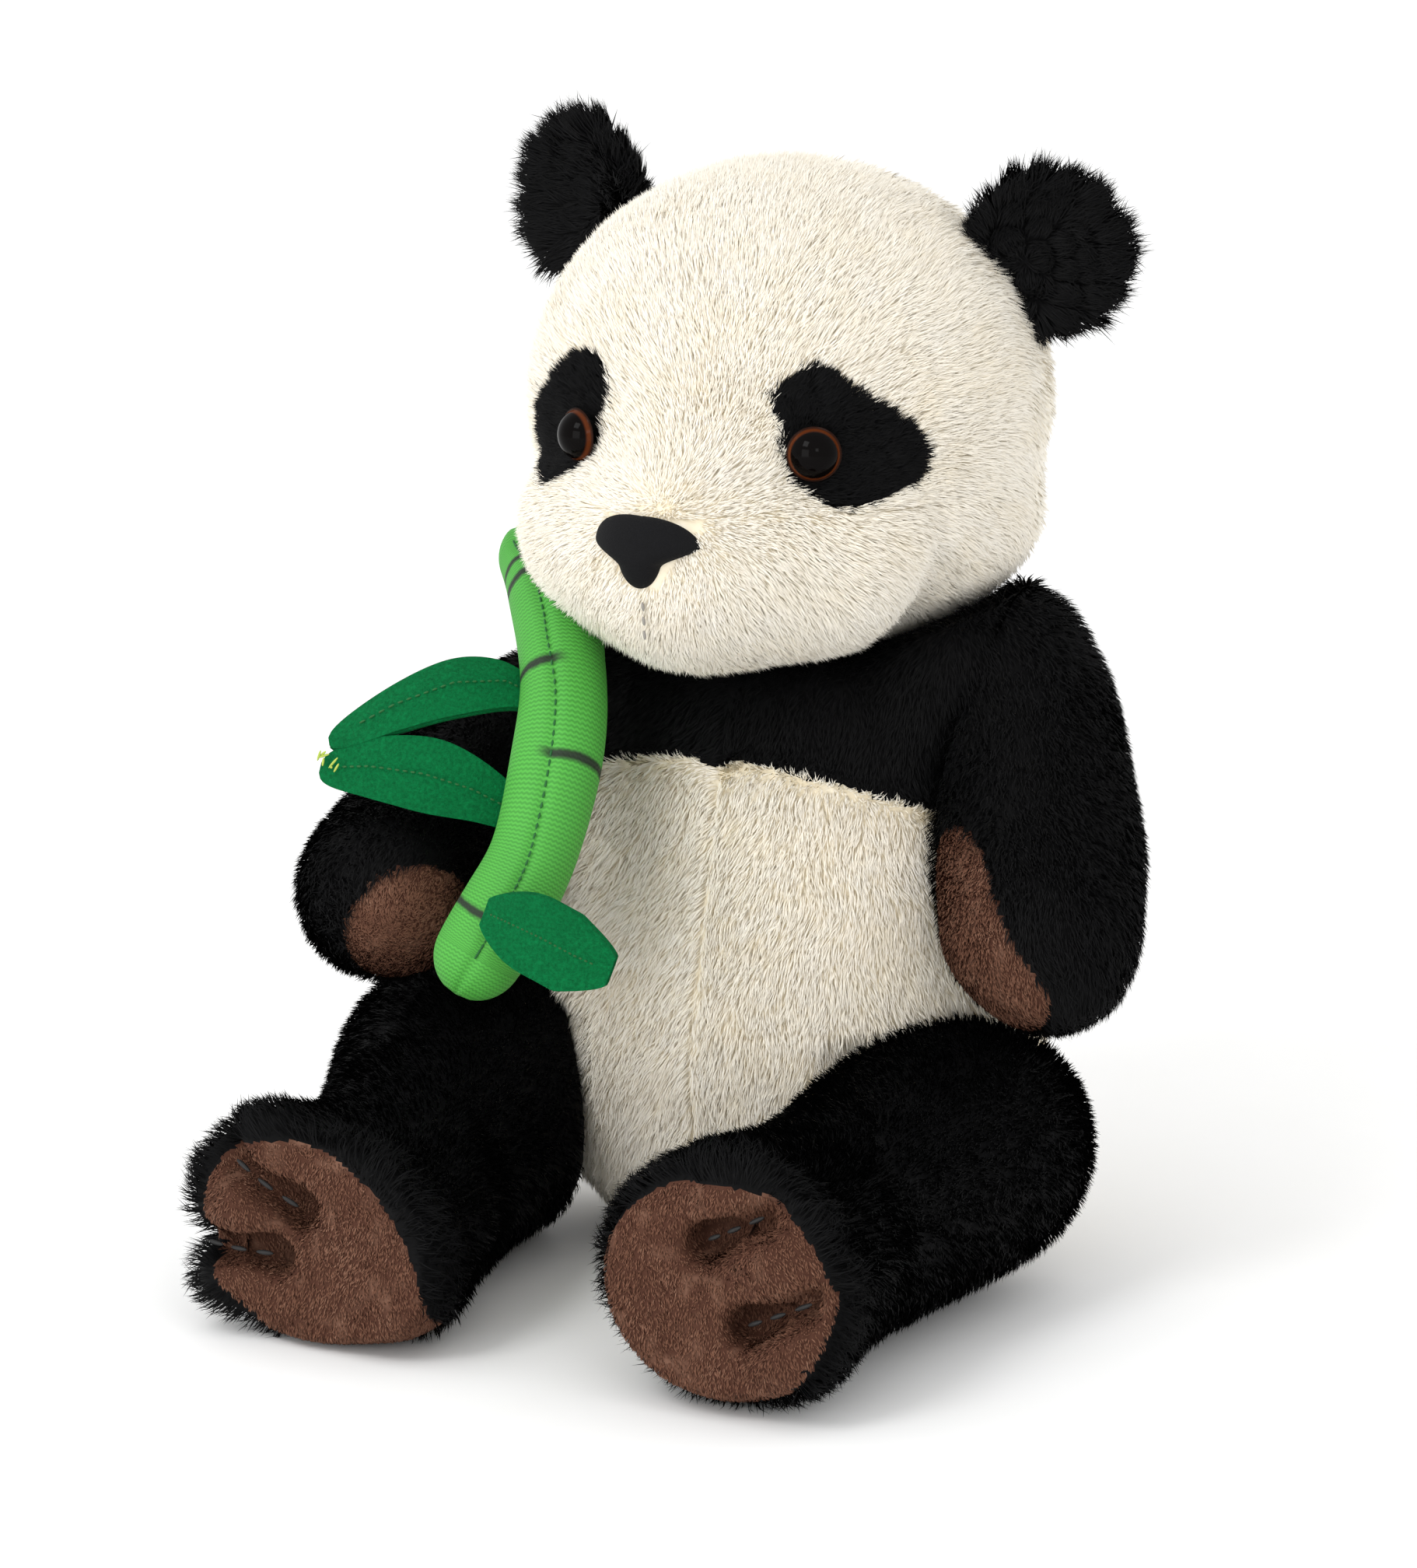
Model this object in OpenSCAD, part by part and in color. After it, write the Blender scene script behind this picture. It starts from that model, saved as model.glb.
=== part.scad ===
// Plush panda, sitting, with a stuffed bamboo stalk in its right paw.
// Millimetres, +Z up, facing -Y. The origin is the middle of the flat seat panel, on the surface it rests on.

/* [Fabric] */
// Thickness of a plush panel, backing and combed-down pile together
cover_t = 3; // [2:0.5:4]
// Space left at a seam between two panels
seam_gap = 0.2; // [0.1:0.1:0.5]
// Space between two parts that move
move_gap = 0.6; // [0.4:0.1:1.5]

/* [Head] */
// Width of the head across the cheeks
head_w = 130; // [105:1:160]
// Depth of the head, without the muzzle
head_d = 124; // [100:1:150]
// Height of the skull
head_h = 116; // [96:1:140]
// Height of the lower, rounder half of the head
jowl_h = 68; // [56:1:84]
// Width of the muzzle
muzzle_w = 60; // [48:1:74]
// How far the nose stands ahead of the neck
muzzle_reach = 82; // [76:1:92]
// Diameter of a safety eye
eye_d = 14; // [10:1:18]
// Distance between the eyes
eye_gap = 61; // [52:1:70]
// Width of the nose
nose_w = 26; // [20:1:32]
// Length of an ear from its base seam
ear_len = 38; // [30:1:46]
// Width of an ear
ear_w = 40; // [32:1:48]
// Thickness of an ear
ear_t = 12; // [8:1:14]

/* [Body] */
// Height of the shoulders above the surface
shoulder_h = 166; // [145:1:190]
// Width of the chest between the two arm seams
chest_w = 120; // [100:1:140]
// Widest part of the hips
hip_w = 136; // [130:1:164]
// Depth of the belly, front to back
belly_d = 112; // [94:1:130]
// Diameter of the stuffed neck
neck_d = 44; // [30:1:54]
// Diameter of the bag of plastic pellets in the seat
pellet_d = 60; // [45:1:66]
// Height of the bag of plastic pellets
pellet_h = 28; // [20:1:34]

/* [Arms and legs] */
// Thickness of an arm at the shoulder
arm_d = 52; // [42:1:60]
// Thickness of a paw
paw_d = 44; // [36:1:50]
// Length of an arm from shoulder to paw
arm_len = 68; // [56:1:78]
// Width of a foot
foot_w = 66; // [54:1:74]
// Height of a foot
foot_h = 62; // [52:1:70]
// How far the soles stand ahead of the seat's middle
foot_reach = 138; // [120:1:160]

/* [Bamboo] */
// Diameter of the stalk
stalk_d = 21; // [17:1:25]
// Thickness of one layer of felt
felt_t = 1.2; // [0.8:0.2:2]
// Length of the two long leaves
leaf_len = 42; // [36:1:50]
// Width of the two long leaves
leaf_w = 21; // [16:1:25]

/* [Hidden] */
black = "#151416"; cream = "#f1e9d2"; brown = "#7a5848"; green = "#3fae2b"; felt = "#0b7a3b"; stuffing = "#f7f7f4";
big = 400;
fine = 22;

// Head: the skull and the jowl share one upright axis, so the head can turn above the shoulders.
jowl_z = shoulder_h + 16;
skull_z = jowl_z + 26;
muzzle_d = 64;
muzzle_y = -(muzzle_reach - muzzle_d / 2);
cheek_y = -head_d * 0.31;
// The head turns about the upright axis and nods about the jowl's middle.
turn_max = 18;
turn_min = 6;
nod_max = 6;
// Half the width of the forehead gusset at the eyes, and how much it widens upward.
gusset_low = 26;
gusset_high = 92;
back_y = 6;

function skull_y(x, z) = -head_d / 2 * sqrt(1 - pow(x / (head_w / 2), 2) - pow((z - skull_z) / (head_h / 2), 2));
eye_z = skull_z - 3;
eye_x = eye_gap / 2;
eye_y = skull_y(eye_x, eye_z);
eye_yaw = atan2(eye_x / pow(head_w, 2), -eye_y / pow(head_d, 2));
shank_d = 4;
washer_d = 14;

// Ear: base seam on the skull, tilted out and back.
ear_tilt = 50;
ear_turn = 22;
ear_z = skull_z + head_h * 0.27;
ear_x = head_w * 0.385;
ear_y = 9;

// Torso
seat_t = 3;
hip_z = 50;
hip_h = 62;
chest_z = shoulder_h - 44;
chest_d = 88;
plane_x = chest_w / 2;
arm_clear_z = 62;
belly_top_z = 125;
seat_x = hip_w / 2 * 0.56;
seat_y = belly_d / 2 * 0.56;

// Arms: each row is [x, y, z] of a ball's middle, from the shoulder to the paw.
shoulder_z = shoulder_h - arm_d / 2;
paw_drop = arm_len * 0.78;
left_arm = [[plane_x + 14, 4, shoulder_z], [plane_x + 22, -12, shoulder_z - paw_drop * 0.55], [plane_x + paw_d / 2 + 1, -32, shoulder_z - paw_drop]];
right_arm = [[-plane_x - 14, 0, shoulder_z - 12], [-plane_x - 19, -36, shoulder_z - 40], [-plane_x - 12, -arm_len - 7, shoulder_z - 47]];

// Legs: the hip seam is an upright plane that runs from the front of the belly out to the side of the hip.
hip_seam = 45;
hip_reach = belly_d / 2 * 0.70 + 17.5;
leg_top_z = 64;
foot_y = -foot_reach + 26;
foot_x = 50;

// Bamboo stalk: points along its middle, bottom first.
stalk_r = stalk_d / 2;
stalk = [[-35, -96, 87], [-31, -87, 105], [-32, -73, 128], [-43, -50, 152], [-59, -24, 169]];

module ball(p, size, n = fine) {
    translate(p) scale([size[0] / 2, size[1] / 2, size[2] / 2]) sphere(r = 1, $fn = n);
}

// A soft shell is one mesh: resize with zeros leaves its size as it is.
module soft() { resize([0, 0, 0]) children(); }

// Outer shape of the head; d grows it on every side.
module head_shape(d = 0) {
    difference() {
        union() {
            ball([0, 0, skull_z], [head_w + 2 * d, head_d + 2 * d, head_h + 2 * d]);
            ball([0, 0, jowl_z], [head_w - 2 + 2 * d, head_d - 6 + 2 * d, jowl_h + 2 * d]);
            hull() {
                ball([0, muzzle_y, jowl_z - 4], [muzzle_w + 2 * d, muzzle_d + 2 * d, jowl_h * 0.86 + 2 * d], 20);
                for (s = [-1, 1]) ball([s * head_w * 0.20, cheek_y, jowl_z - 3], [head_w * 0.42 + 2 * d, head_d * 0.42 + 2 * d, jowl_h * 0.8 + 2 * d], 20);
            }
        }
        stalk_dent(move_gap + 1.4 - d);
    }
}

// The stalk's upper end leans into the right cheek and dents it, over all of the head's travel.
module stalk_dent(d) {
    for (t = [-turn_min:4:turn_max + 2]) hull() for (n = [-nod_max, nod_max], p = [stalk[3], stalk[4]])
        translate([0, 0, jowl_z]) rotate([n, 0, 0]) translate([0, 0, -jowl_z]) rotate([0, 0, -t]) ball(p, [stalk_d + 2 * d, stalk_d + 2 * d, stalk_d + 2 * d], 16);
}

module head_shell() {
    difference() {
        head_shape(0);
        head_shape(-cover_t);
        // neck opening
        translate([0, 0, jowl_z - jowl_h]) cylinder(d = neck_d + 8, h = jowl_h, $fn = fine);
    }
}

// Forehead gusset in front view: narrow at the nose, wide between the ears.
module gusset_zone(d = 0) {
    rotate([90, 0, 0]) linear_extrude(height = big, center = true)
        polygon([[-gusset_low * 0.45 - d, jowl_z + 6 - d], [gusset_low * 0.45 + d, jowl_z + 6 - d], [gusset_low + d, eye_z + 12],
            [gusset_high + d, skull_z + head_h], [-gusset_high - d, skull_z + head_h], [-gusset_low - d, eye_z + 12]]);
}

// Eye patch in front view: a bean that droops down and outward.
module patch_zone(s, d = 0) {
    translate([0, -big / 2 - 20, 0]) rotate([90, 0, 0]) linear_extrude(height = big, center = true) hull() {
        translate([s * (eye_x + 0.5), eye_z + 6]) circle(d = 22 + 2 * d, $fn = fine);
        translate([s * (eye_x + 11), eye_z - 5]) circle(d = 20 + 2 * d, $fn = fine);
    }
}

module half(y_from, y_to) { translate([-big / 2, y_from, 0]) cube([big, y_to - y_from, big]); }

module eye_frame(s) { translate([s * eye_x, eye_y, eye_z]) rotate([90, 0, s * eye_yaw]) children(); }

module forehead_gusset() { color(cream) soft() difference() {
    intersection() { head_shell(); gusset_zone(); half(-big / 2, back_y); }
    for (s = [-1, 1]) { patch_zone(s, seam_gap); ear_solid(s, move_gap); }
} }

module cheek(s) { color(cream) soft() difference() {
    intersection() { head_shell(); translate([s > 0 ? seam_gap / 2 : -big - seam_gap / 2, -big, 0]) cube([big, big + back_y, big]); }
    gusset_zone(seam_gap);
    patch_zone(s, seam_gap);
    ear_solid(s, move_gap);
} }

module head_back() { color(cream) soft() difference() {
    intersection() { head_shell(); half(back_y + seam_gap, big / 2); }
    for (s = [-1, 1]) ear_solid(s, move_gap);
} }

module eye_patch(s) { color(black) soft() difference() {
    intersection() { head_shell(); patch_zone(s); }
    eye_frame(s) translate([0, 0, -20]) cylinder(d = shank_d + 0.6, h = 30, $fn = fine);
} }

// Safety eye: a domed cap with a shank that passes through the fabric into a washer.
dome_r = eye_d * 0.57;
dome_drop = sqrt(pow(dome_r, 2) - pow(eye_d / 2, 2));
// The cap's flat back clears the bulge of the fabric under it.
eye_lift = eye_d * 0.18;
shank_len = cover_t + 6;
module eye(s) { color("#2a1a12") eye_frame(s) {
    intersection() {
        translate([0, 0, eye_lift - dome_drop]) sphere(r = dome_r, $fn = 48);
        translate([0, 0, eye_lift]) cylinder(d = 2 * eye_d, h = dome_r, $fn = 48);
    }
    translate([0, 0, -shank_len]) cylinder(d = shank_d, h = shank_len + eye_lift + 0.5, $fn = 32);
} }

module eye_washer(s) { color("white") eye_frame(s) translate([0, 0, -cover_t - 4.2]) difference() {
    cylinder(d = washer_d, h = 1.6, $fn = 48);
    translate([0, 0, -1]) cylinder(d = shank_d + 0.2, h = 4, $fn = 48);
} }

module nose() { color("#0c0c0d") soft() difference() {
    hull() {
        for (s = [-1, 1]) ball([s * (nose_w / 2 - 4.5), muzzle_y - muzzle_d / 2 + 4, jowl_z + 6], [9, 10, 8], 16);
        ball([0, muzzle_y - muzzle_d / 2 + 1.5, jowl_z - 4.5], [8, 9, 8], 16);
    }
    head_shape(0.1);
} }

module mouth_stitch() { color("#77736c") soft() difference() {
    hull() {
        ball([0, muzzle_y - muzzle_d / 2 - 0.1, jowl_z - 11], [1.4, 1.8, 1.4], 12);
        ball([0, muzzle_y - muzzle_d / 2 + 4.0, jowl_z - 20], [1.4, 1.8, 1.4], 12);
    }
    head_shape(0.05);
} }

module head_filling() { color(stuffing) soft() difference() {
    head_shape(-cover_t - seam_gap);
    translate([0, 0, jowl_z - jowl_h]) cylinder(d = neck_d + 8, h = jowl_h * 0.5 + cover_t + 1, $fn = fine);
    for (s = [-1, 1]) eye_frame(s) translate([0, 0, -shank_len - 1]) cylinder(d = washer_d + 1, h = 30, $fn = fine);
} }

// Ear: two plush pieces sewn edge to edge, here two halves of a flat pad; s is 1 on the left and -1 on the right.
module ear_frame(s) { translate([s * ear_x, ear_y, ear_z]) rotate([0, 0, s * ear_turn]) rotate([0, s * ear_tilt, 0]) children(); }
module ear_solid(s, d = 0) { ear_frame(s) ball([0, 0, ear_len * 0.38], [ear_w + 2 * d, ear_t + 2 * d, ear_len * 1.24 + 2 * d], 18); }
module ear_half(s, front) { color(black) soft() difference() {
    intersection() {
        ear_solid(s);
        ear_frame(s) translate([-big / 2, front ? -big - seam_gap / 2 : seam_gap / 2, -big / 2]) cube([big, big, big]);
    }
    head_shape(move_gap + 1.2);
} }

// The neck is a stuffed plug that stands in the torso's filling and carries the head.
neck_top = jowl_z - jowl_h / 2 - move_gap - 0.6;
neck_bottom = neck_top - 30;
module neck_filling() { color(stuffing) translate([0, 0, neck_bottom]) cylinder(d = neck_d, h = neck_top - neck_bottom, $fn = 48); }

// Outer shape of the torso; d grows it on every side.
module torso_shape(d = 0) {
    intersection() {
        hull() {
            ball([0, -2, hip_z], [hip_w + 2 * d, belly_d + 2 * d, 2 * hip_h + 2 * d]);
            ball([0, 4, chest_z], [chest_w + 12 + 2 * d, chest_d + 2 * d, 2 * (shoulder_h - chest_z) + 2 * d]);
        }
        // arm seams and hip seams
        union() {
            translate([-plane_x - d, -big / 2, 0]) cube([2 * plane_x + 2 * d, big, big]);
            translate([-big / 2, -big / 2, 0]) cube([big, big, arm_clear_z + d]);
        }
        difference() {
            translate([-big / 2, -big / 2, seat_t + seam_gap - d]) cube([big, big, big]);
            for (s = [-1, 1]) hip_frame(s) translate([d, -big / 2, -big]) cube([big, big, big + leg_top_z + 2 * move_gap - d]);
        }
    }
}

// The space the head sweeps as it turns and nods.
module head_room(d = 0) {
    ball([0, 0, jowl_z], [head_w + 4 + 2 * d, head_w + 4 + 2 * d, jowl_h + 2 * move_gap + 17 + 2 * d], 40);
    for (a = [-1, 0]) hull() for (t = [a, a + 1], n = [-nod_max, nod_max])
        rotate([0, 0, t * (turn_max + 2)]) translate([0, 0, jowl_z]) rotate([n, 0, 0]) {
            ball([0, muzzle_y, -4], [muzzle_w + 3 + 2 * d, muzzle_d + 3 + 2 * d, jowl_h * 0.86 + 3 + 2 * d], 16);
            ball([0, cheek_y, -1], [head_w * 0.9 + 3 + 2 * d, head_d * 0.42 + 3 + 2 * d, jowl_h * 0.85 + 3 + 2 * d], 16);
        }
}

module torso_shell() {
    difference() {
        torso_shape(0);
        torso_shape(-cover_t);
        head_room();
        // neck and seat openings
        translate([0, 0, neck_bottom]) cylinder(d = neck_d + 2 * move_gap, h = big, $fn = fine);
        translate([0, 0, -1]) scale([seat_x * 0.9, seat_y * 0.9, 1]) cylinder(r = 1, h = hip_z * 0.5, $fn = fine);
    }
}

// Panels of the torso by height and side.
yoke_z = belly_top_z;
module zone(x0, x1, y0, y1, z0, z1) { translate([x0, y0, z0]) cube([x1 - x0, y1 - y0, z1 - z0]); }
side_y = 4;
module chest_yoke() { color(black) soft() intersection() { torso_shell(); zone(-big, big, -big, side_y, yoke_z, big); } }
module belly(s) { color(cream) soft() intersection() {
    torso_shell();
    zone(s > 0 ? seam_gap / 2 : -big, s > 0 ? big : -seam_gap / 2, -big, side_y, 0, yoke_z - seam_gap);
} }
module back_yoke() { color(black) soft() intersection() { torso_shell(); zone(-big, big, side_y + seam_gap, big, yoke_z, big); } }
module back_lower() { color(cream) soft() intersection() { torso_shell(); zone(-big, big, side_y + seam_gap, big, 0, yoke_z - seam_gap); } }

// The seat is a flat oval panel that closes the torso underneath.
module seat_panel() { color(cream) linear_extrude(height = seat_t)
    polygon([for (i = [0:47]) [seat_x * cos(i * 7.5), seat_y * sin(i * 7.5)]]); }

module torso_filling() { color(stuffing) soft() difference() {
    torso_shape(-cover_t - seam_gap);
    head_room(cover_t + seam_gap);
    translate([0, 0, neck_bottom - 0.4]) cylinder(d = neck_d + 2 * move_gap, h = big, $fn = fine);
    translate([0, 0, -1]) cylinder(d = pellet_d + 0.8, h = pellet_z + pellet_h + 1.6, $fn = 48);
} }

// The bag lies in a pocket of the filling, above the seat's opening.
pellet_z = seat_t + cover_t + 3;
module pellet_bag() { color("#c9d4dd") translate([0, 0, pellet_z]) cylinder(d = pellet_d, h = pellet_h, $fn = 64); }

// Outer shape of an arm through three balls; d grows it on every side.
module arm_shape(a, s, d = 0) {
    intersection() {
        union() {
            hull() { ball(a[0], [arm_d + 2 * d, arm_d + 2 * d, arm_d + 2 * d], 18); ball(a[1], [arm_d * 0.88 + 2 * d, arm_d * 0.9 + 2 * d, arm_d * 0.9 + 2 * d], 18); }
            hull() { ball(a[1], [arm_d * 0.88 + 2 * d, arm_d * 0.9 + 2 * d, arm_d * 0.9 + 2 * d], 18); ball(a[2], [paw_d + 2 * d, paw_d + 4 + 2 * d, paw_d + 2 * d], 18); }
        }
        // the seam at the shoulder is flat and keeps clear of the head; ahead of the belly the paw may reach further in
        difference() {
            zone(-big, big, -big, big, 0, big);
            ball([0, 0, jowl_z], [head_w + 2 * move_gap + 1 - 2 * d, head_w + 2 * move_gap + 1 - 2 * d, jowl_h + 2 * move_gap + 1 - 2 * d]);
        }
        union() {
            zone(s > 0 ? plane_x + move_gap - d : -big, s > 0 ? big : -plane_x - move_gap + d, -big, big, 0, big);
            zone(-big, big, -big, -belly_d / 2 - 2 * move_gap, 0, big);
        }
    }
}

// Pad of a paw: an oval on the paw's inner front face.
module pad_zone(a, yaw, pitch, d = 0) {
    translate(a[2]) rotate([0, 0, yaw]) rotate([pitch, 0, 0]) rotate([90, 0, 0])
        scale([paw_d * 0.36 + d, paw_d * 0.45 + d, 1]) cylinder(r = 1, h = paw_d, $fn = 24);
}
module arm_shell(a, s) { difference() { arm_shape(a, s, 0); arm_shape(a, s, -cover_t); } }
left_pad = [-38, 6];
right_pad = [42, -12];
// The two panels of an arm meet along its front and back.
module arm_panel(a, s, pad, outer) { color(black) soft() difference() {
    intersection() {
        arm_shell(a, s);
        zone(s * (outer ? 1 : -1) > 0 ? s * (plane_x + 17) + seam_gap / 2 : -big, s * (outer ? 1 : -1) > 0 ? big : s * (plane_x + 17) - seam_gap / 2, -big, big, 0, big);
    }
    pad_zone(a, pad[0], pad[1], seam_gap);
} }
module paw_pad(a, s, pad) { color(brown) soft() intersection() { arm_shell(a, s); pad_zone(a, pad[0], pad[1]); } }
module arm_filling(a, s) { color(stuffing) soft() arm_shape(a, s, -cover_t - seam_gap); }

// Hip seam frame: +X points away from the torso, through the upright seam plane.
module hip_frame(s) { rotate([0, 0, s > 0 ? -hip_seam : 180 + hip_seam]) translate([hip_reach, 0, 0]) children(); }
module leg_shape(s, d = 0) {
    intersection() {
        union() {
            hull() {
                ball([s * 56, -30, foot_h / 2], [70 + 2 * d, 78 + 2 * d, leg_top_z + 2 * d], 18);
                ball([s * (foot_x + 1), foot_y + 18, foot_h * 0.47], [54 + 2 * d, 44 + 2 * d, foot_h * 0.9 + 2 * d], 18);
            }
            ball([s * foot_x, foot_y, foot_h / 2], [foot_w + 2 * d, 52 + 2 * d, foot_h + 2 * d], 18);
        }
        hip_frame(s) translate([move_gap - d, -big / 2, -d]) cube([big, big, leg_top_z + d]);
    }
}
module leg_shell(s) { difference() { leg_shape(s, 0); leg_shape(s, -cover_t); } }
module sole_zone(s, d = 0) {
    translate([s * foot_x, 0, foot_h / 2]) rotate([90, 0, 0]) scale([foot_w * 0.40 + d, foot_h * 0.41 + d, 1]) cylinder(r = 1, h = big, $fn = 28);
}
module leg_panel(s, upper) { color(black) soft() difference() {
    intersection() { leg_shell(s); zone(-big, big, -big, big, upper ? foot_h * 0.5 + seam_gap : -1, upper ? big : foot_h * 0.5); }
    sole_front(s, seam_gap);
} }
module sole_front(s, d = 0) { intersection() { sole_zone(s, d); zone(-big, big, -big, foot_y - 8 + d, -1, big); } }
module sole(s) { color(brown) soft() intersection() { leg_shell(s); sole_front(s); } }
// Stitches that pull the sole in between the toes.
module toe_stitches(s) { color("#101010") soft() difference() {
    for (i = [0, 1]) hull() for (t = [0, 1])
        ball([s * (foot_x - 3 + 9 * i + 9 * t), foot_y - 24.5 + t * 1.5, foot_h * (0.72 - 0.24 * i) + 4 * t], [1.6, 2.4, 1.6], 8);
    leg_shape(s, 0.05);
} }
module leg_filling(s) { color(stuffing) soft() leg_shape(s, -cover_t - seam_gap); }

// Bamboo: one knit tube, closed along its front by a stitched seam.
module stalk_shape(d = 0) { for (i = [0:len(stalk) - 2]) hull() { for (p = [stalk[i], stalk[i + 1]]) ball(p, [stalk_d + 2 * d, stalk_d + 2 * d, stalk_d + 2 * d], 14); } }
module seam_slot(w) { for (i = [0:len(stalk) - 2]) hull() for (p = [stalk[i], stalk[i + 1]])
    translate(p + [0, -stalk_r * 0.9, 0]) scale([0.5 + w, 2.6 + w, 0.9 + w]) sphere(r = 1, $fn = 10); }
module stalk_cover() { color(green) soft() difference() { stalk_shape(); stalk_shape(-1.2); seam_slot(0.1); } }
module stalk_seam() { color(felt) soft() intersection() { seam_slot(0); difference() { stalk_shape(0.6); stalk_shape(-1.2); } } }
module stalk_filling() { color(stuffing) soft() stalk_shape(-1.2 - seam_gap); }

// A leaf's outline, from its stem to its point, as half widths along its length.
function leaf_outline(l, w) = concat([for (i = [0:10]) [i * l / 10, w / 2 * (0.45 + 0.55 * sin(min(i, 5) * 18)) * sqrt(1 - pow(max(i - 4, 0) / 6, 2))]],
    [for (i = [9:-1:0]) [i * l / 10, -w / 2 * (0.45 + 0.55 * sin(min(i, 5) * 18)) * sqrt(1 - pow(max(i - 4, 0) / 6, 2))]]);
module leaf_layer(l, w, k) { translate([0, k * (felt_t / 2 + 0.05), 0]) rotate([90, 0, 0]) linear_extrude(height = felt_t, center = true) polygon(leaf_outline(l, w)); }
upper_at = [(stalk[2][0] + stalk[3][0]) / 2 - stalk_r + 2, -70, 139];
lower_at = [stalk[2][0] - stalk_r - 1, -77, 125];
small_at = [-33, stalk[0][1] + 1 - stalk_r - felt_t - 1, 91];
upper_turn = [0, 13, 190];
lower_turn = [0, -3, 188];
small_turn = [0, 4, -6];
module leaf_upper(k) { color(felt) translate(upper_at) rotate(upper_turn) translate([1, 0, 0]) leaf_layer(leaf_len, leaf_w, k); }
module leaf_lower(k) { color(felt) translate(lower_at) rotate(lower_turn) translate([1, 0, 0]) leaf_layer(leaf_len, leaf_w, k); }
module small_leaf(k) { color(felt) translate(small_at) rotate(small_turn) leaf_layer(36, 21, k); }
// Thread that ties the two long leaves together at their points.
module leaf_tie() { color("#b8c94a") translate([upper_at[0] - leaf_len + 4, (upper_at[1] + lower_at[1]) / 2 - 6.2, 128.6]) rotate([60, 0, 0]) cylinder(d = 1.2, h = 2, center = true, $fn = 16); }

forehead_gusset();
cheek(1);  // cheek_left
cheek(-1);  // cheek_right
head_back();
eye_patch(1);  // eye_patch_left
eye_patch(-1);  // eye_patch_right
eye(1);  // eye_left
eye(-1);  // eye_right
eye_washer(1);  // eye_washer_left
eye_washer(-1);  // eye_washer_right
nose();
mouth_stitch();
head_filling();
ear_half(1, true);  // ear_left_front
ear_half(1, false);  // ear_left_back
ear_half(-1, true);  // ear_right_front
ear_half(-1, false);  // ear_right_back
neck_filling();
chest_yoke();
belly(1);  // belly_left
belly(-1);  // belly_right
back_yoke();
back_lower();
seat_panel();
torso_filling();
pellet_bag();
arm_panel(left_arm, 1, left_pad, true);  // arm_left_outer
arm_panel(left_arm, 1, left_pad, false);  // arm_left_inner
paw_pad(left_arm, 1, left_pad);  // paw_pad_left
arm_filling(left_arm, 1);  // arm_left_filling
arm_panel(right_arm, -1, right_pad, true);  // arm_right_outer
arm_panel(right_arm, -1, right_pad, false);  // arm_right_inner
paw_pad(right_arm, -1, right_pad);  // paw_pad_right
arm_filling(right_arm, -1);  // arm_right_filling
leg_panel(1, true);  // leg_left_upper
leg_panel(1, false);  // leg_left_under
sole(1);  // sole_left
toe_stitches(1);  // toe_stitches_left
leg_filling(1);  // leg_left_filling
leg_panel(-1, true);  // leg_right_upper
leg_panel(-1, false);  // leg_right_under
sole(-1);  // sole_right
toe_stitches(-1);  // toe_stitches_right
leg_filling(-1);  // leg_right_filling
stalk_cover();
stalk_filling();
stalk_seam();
leaf_upper(1);  // leaf_upper_front
leaf_upper(-1);  // leaf_upper_back
leaf_lower(1);  // leaf_lower_front
leaf_lower(-1);  // leaf_lower_back
leaf_tie();
small_leaf(-1);  // small_leaf_front
small_leaf(1);  // small_leaf_back
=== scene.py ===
import math

import bpy
import numpy as np
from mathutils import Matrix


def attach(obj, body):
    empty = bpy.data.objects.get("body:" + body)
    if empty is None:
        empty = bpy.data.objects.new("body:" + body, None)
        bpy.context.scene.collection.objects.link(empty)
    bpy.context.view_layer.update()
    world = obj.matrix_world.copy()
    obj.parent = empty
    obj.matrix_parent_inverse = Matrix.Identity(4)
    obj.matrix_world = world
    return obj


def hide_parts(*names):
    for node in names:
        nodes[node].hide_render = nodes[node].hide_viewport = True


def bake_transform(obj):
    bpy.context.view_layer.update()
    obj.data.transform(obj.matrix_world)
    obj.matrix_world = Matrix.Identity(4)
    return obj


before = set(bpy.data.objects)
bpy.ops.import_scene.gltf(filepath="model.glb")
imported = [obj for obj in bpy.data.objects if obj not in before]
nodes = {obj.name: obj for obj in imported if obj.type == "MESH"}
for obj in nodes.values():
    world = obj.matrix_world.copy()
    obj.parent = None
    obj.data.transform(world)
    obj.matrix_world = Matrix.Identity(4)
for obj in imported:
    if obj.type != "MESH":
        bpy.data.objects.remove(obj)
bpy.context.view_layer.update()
bpy.ops.object.select_all(action="DESELECT")

# ---------------------------------------------------------------------------
# Studio
# A pale floor under soft light from all round, and a long lens that looks
# down on the toy a little, from its right-hand side.
# ---------------------------------------------------------------------------
bpy.context.scene.view_settings.view_transform = "Standard"
turn, rise, away = math.radians(26), math.radians(13), 1.35
across = np.array([math.cos(turn), math.sin(turn), 0.0])
toward = np.array([math.sin(turn) * math.cos(rise), -math.cos(turn) * math.cos(rise), math.sin(rise)])
aim = np.array([0, 0, 0.1116]) - 0.01995 * across
bpy.ops.object.camera_add(location=tuple(aim + away * toward), rotation=(math.pi / 2 - rise, 0, turn))
camera = bpy.context.object
camera.name = "camera"
camera.data.sensor_fit = "HORIZONTAL"
camera.data.sensor_width = 36
camera.data.lens = 140.4
camera.data.clip_start, camera.data.clip_end = 0.05, 60
bpy.context.scene.camera = camera


def dye(red, green, blue):
    """A colour as it looks on a swatch, 0 to 255, turned into the light it gives back."""
    return tuple((c / 255 / 12.92 if c < 10.3 else ((c / 255 + 0.055) / 1.055) ** 2.4)
                 for c in (red, green, blue)) + (1.0,)


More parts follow.
